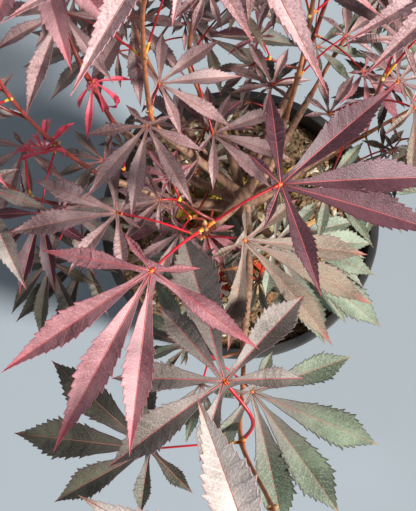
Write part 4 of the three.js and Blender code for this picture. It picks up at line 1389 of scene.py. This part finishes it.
class MAPLE_OT_twigs(bpy.types.Operator):
    """Grow the shoots, finer twigs, buds and leaf stalks"""
    bl_idname = "maple.twigs"
    bl_label = "Shoots and stalks"

    def execute(self, context):
        settings = context.scene.maple_wood
        leaf_settings = context.scene.maple_leaves
        leaves, twigs = grow()
        for wood in ("orange", "red"):
            colour = tuple(getattr(settings, wood))
            shoots = [shoot for shoot in SHOOTS if shoot["wood"] == wood]
            limbs = bmesh.new()
            for shoot in shoots:
                count = len(shoot["joints"])
                wrapped_tube(limbs, Line(shoot_points(shoot)),
                             lambda share, count=count: shoot_radius(share, count), 10, 10 * count)
            for twig in twigs:
                if twig["wood"] == wood:
                    wrapped_tube(limbs, Line(twig["points"]),
                                 lambda share: TWIG_RADIUS * (1.25 - 0.4 * share), 7, 8)
            nodes = [f"foliage_{shoot['name']}" for shoot in shoots]
            finish = stalk_finish(f"{wood}_wood", shaded(colour, 0.55), colour)
            finished_piece(f"shoots_{wood}", limbs, finish, "shoot", *nodes)

        buds = bmesh.new()
        for number, shoot in enumerate(SHOOTS):
            for joint, place in enumerate(shoot["joints"]):
                for side in range(2):
                    turn = math.radians(shoot["turn"] + 90 * joint + 180 * side)
                    add_bud(buds, np.array(place), turn, 1000 * number + 10 * joint + side)

        stalks = bmesh.new()
        feet = bmesh.new()
        sleeves = bmesh.new()
        for leaf in leaves:
            line = petiole_line(leaf)
            radius = leaf.get("stalk", leaf_settings.stalk_radius / MM)
            wrapped_tube(stalks, line, lambda share: stalk_radius(share, radius), 7, 12)
            for ends, start, end in ((feet, 0.02, 0.13), (sleeves, 0.93, 1)):
                wrapped_tube(ends, line, lambda share: stalk_radius(share, radius) + 0.06, 7, 3,
                             start, end)
            add_hub(sleeves, leaf)
        red = tuple(settings.stalk)
        for name, grown, *look in (
                ("buds", buds, "bud_scales", (0.3, 0.1, 0.05), (0.6, 0.42, 0.16)),
                ("leaf_stalks", stalks, "stalk", shaded(red, 0.35), red, 34),
                ("stalk_feet", feet, "stalk_foot", (0.8, 0.2, 0.02), (0.78, 0.5, 0.04)),
                ("stalk_sleeves", sleeves, "stalk_ends", (0.85, 0.07, 0.02), (0.85, 0.27, 0.03))):
            finished_piece(name, grown, stalk_finish(*look), "shoot")
        return {"FINISHED"}


def shoot_radius(share, count):
    """Slim between the joints and swollen at each of them."""
    taper = mix(BOUGH_TIP_RADIUS, SHOOT_TIP_RADIUS, share)
    from_joint = abs(share * count - round(share * count)) / count
    return taper * (0.7 + 0.3 * math.exp(-(from_joint * count / 0.09) ** 2))


def stalk_radius(share, radius):
    """Thickened at its foot and under the blade."""
    return radius * (1 + 0.9 * math.exp(-share / 0.07) + 0.6 * math.exp(-(1 - share) / 0.05))


def add_bud(target, joint, turn, key):
    """A pointed bud in the angle above a leaf stalk."""
    length = 2.8 + 1.2 * chance(key)
    away = np.array([math.cos(turn), math.sin(turn), 1.3])
    away /= np.linalg.norm(away)
    line = Line([joint + away * 0.8, joint + away * (0.8 + length / 2) + (0, 0, 0.3),
                 joint + away * (0.8 + length)])
    wrapped_tube(target, line, lambda share: 0.25 + 0.95 * math.sin(math.pi * share ** 0.7), 7, 6)


def add_hub(target, leaf):
    """The small bright knob where the lobes meet."""
    along, left, up = leaf_axes(leaf)
    knob = bmesh.new()
    bmesh.ops.create_icosphere(knob, subdivisions=2, radius=1)
    size = HUB_RADIUS * leaf["length"] / LEAF_LENGTH
    place = Matrix.Translation(MM * Vector(leaf["hub"] + up * 0.2))
    axes = Matrix((along, left, up)).transposed().to_4x4()
    shape = Matrix.Diagonal((size * 1.25 * MM, size * MM, size * 0.5 * MM, 1))
    bmesh.ops.transform(knob, matrix=place @ axes @ shape, verts=knob.verts)
    shade_smooth(knob)
    pour(knob, target)


class MAPLE_OT_leaves(bpy.types.Operator):
    """Grow the lobed leaves, dealt out by tint, with their raised ribs"""
    bl_idname = "maple.leaves"
    bl_label = "Leaves"

    def execute(self, context):
        settings = context.scene.maple_leaves
        leaves, _twigs = grow()
        for tint, (slot, _about, _colour, *others) in TINTS.items():
            blades = bmesh.new()
            for leaf in leaves:
                if leaf["tint"] == tint:
                    add_blade(blades, leaf, settings.thickness, settings.half_width)
            colour = tuple(getattr(settings, tint))
            finish = leaf_finish(f"{tint}_blade", colour, settings.sheen, *others)
            finished_piece(f"leaves_{tint}", blades, finish, slot)

        radius = settings.rib_radius / MM
        pink = {"plum", "wine", "crimson", "smoke"}
        for name, chosen, shade in (
                ("ribs_pink", pink, (0.6, 0.14, 0.14)),
                ("ribs_salmon", set(TINTS) - pink, (0.46, 0.19, 0.14))):
            ribs = bmesh.new()
            for leaf in leaves:
                if leaf["tint"] in chosen:
                    add_ribs(ribs, leaf, radius)
            finished_piece(name, ribs, stalk_finish(name, shaded(shade, 0.7), shade), "shoot")
        return {"FINISHED"}


class MAPLE_PT_panel(bpy.types.Panel):
    """Lists the steps that dress the maple"""
    bl_label = "Potted Japanese Maple"
    bl_idname = "MAPLE_PT_panel"
    bl_space_type = "VIEW_3D"
    bl_region_type = "UI"
    bl_category = "Maple"

    def draw(self, context):
        for step in STEPS:
            self.layout.operator(step.bl_idname)
        for name in SETTINGS:
            group = getattr(context.scene, name)
            box = self.layout.box()
            for key in group.bl_rna.properties.keys():
                if key not in ("rna_type", "name"):
                    box.prop(group, key)


SETTINGS = {
    "maple_studio": StudioSettings,
    "maple_pot": PotSettings,
    "maple_compost": CompostSettings,
    "maple_wood": WoodSettings,
    "maple_leaves": LeafSettings,
}
STEPS = (MAPLE_OT_studio, MAPLE_OT_pot, MAPLE_OT_compost, MAPLE_OT_wood, MAPLE_OT_twigs,
         MAPLE_OT_leaves)


def register():
    for name, group in SETTINGS.items():
        bpy.utils.register_class(group)
        setattr(bpy.types.Scene, name, PointerProperty(type=group))
    for cls in (*STEPS, MAPLE_PT_panel):
        bpy.utils.register_class(cls)


def unregister():
    for cls in (MAPLE_PT_panel, *reversed(STEPS)):
        bpy.utils.unregister_class(cls)
    for name, group in SETTINGS.items():
        delattr(bpy.types.Scene, name)
        bpy.utils.unregister_class(group)


def main():
    register()
    bpy.ops.maple.studio()
    bpy.ops.maple.pot()
    bpy.ops.maple.compost()
    bpy.ops.maple.wood()
    bpy.ops.maple.twigs()
    bpy.ops.maple.leaves()


if __name__ == "__main__":
    main()
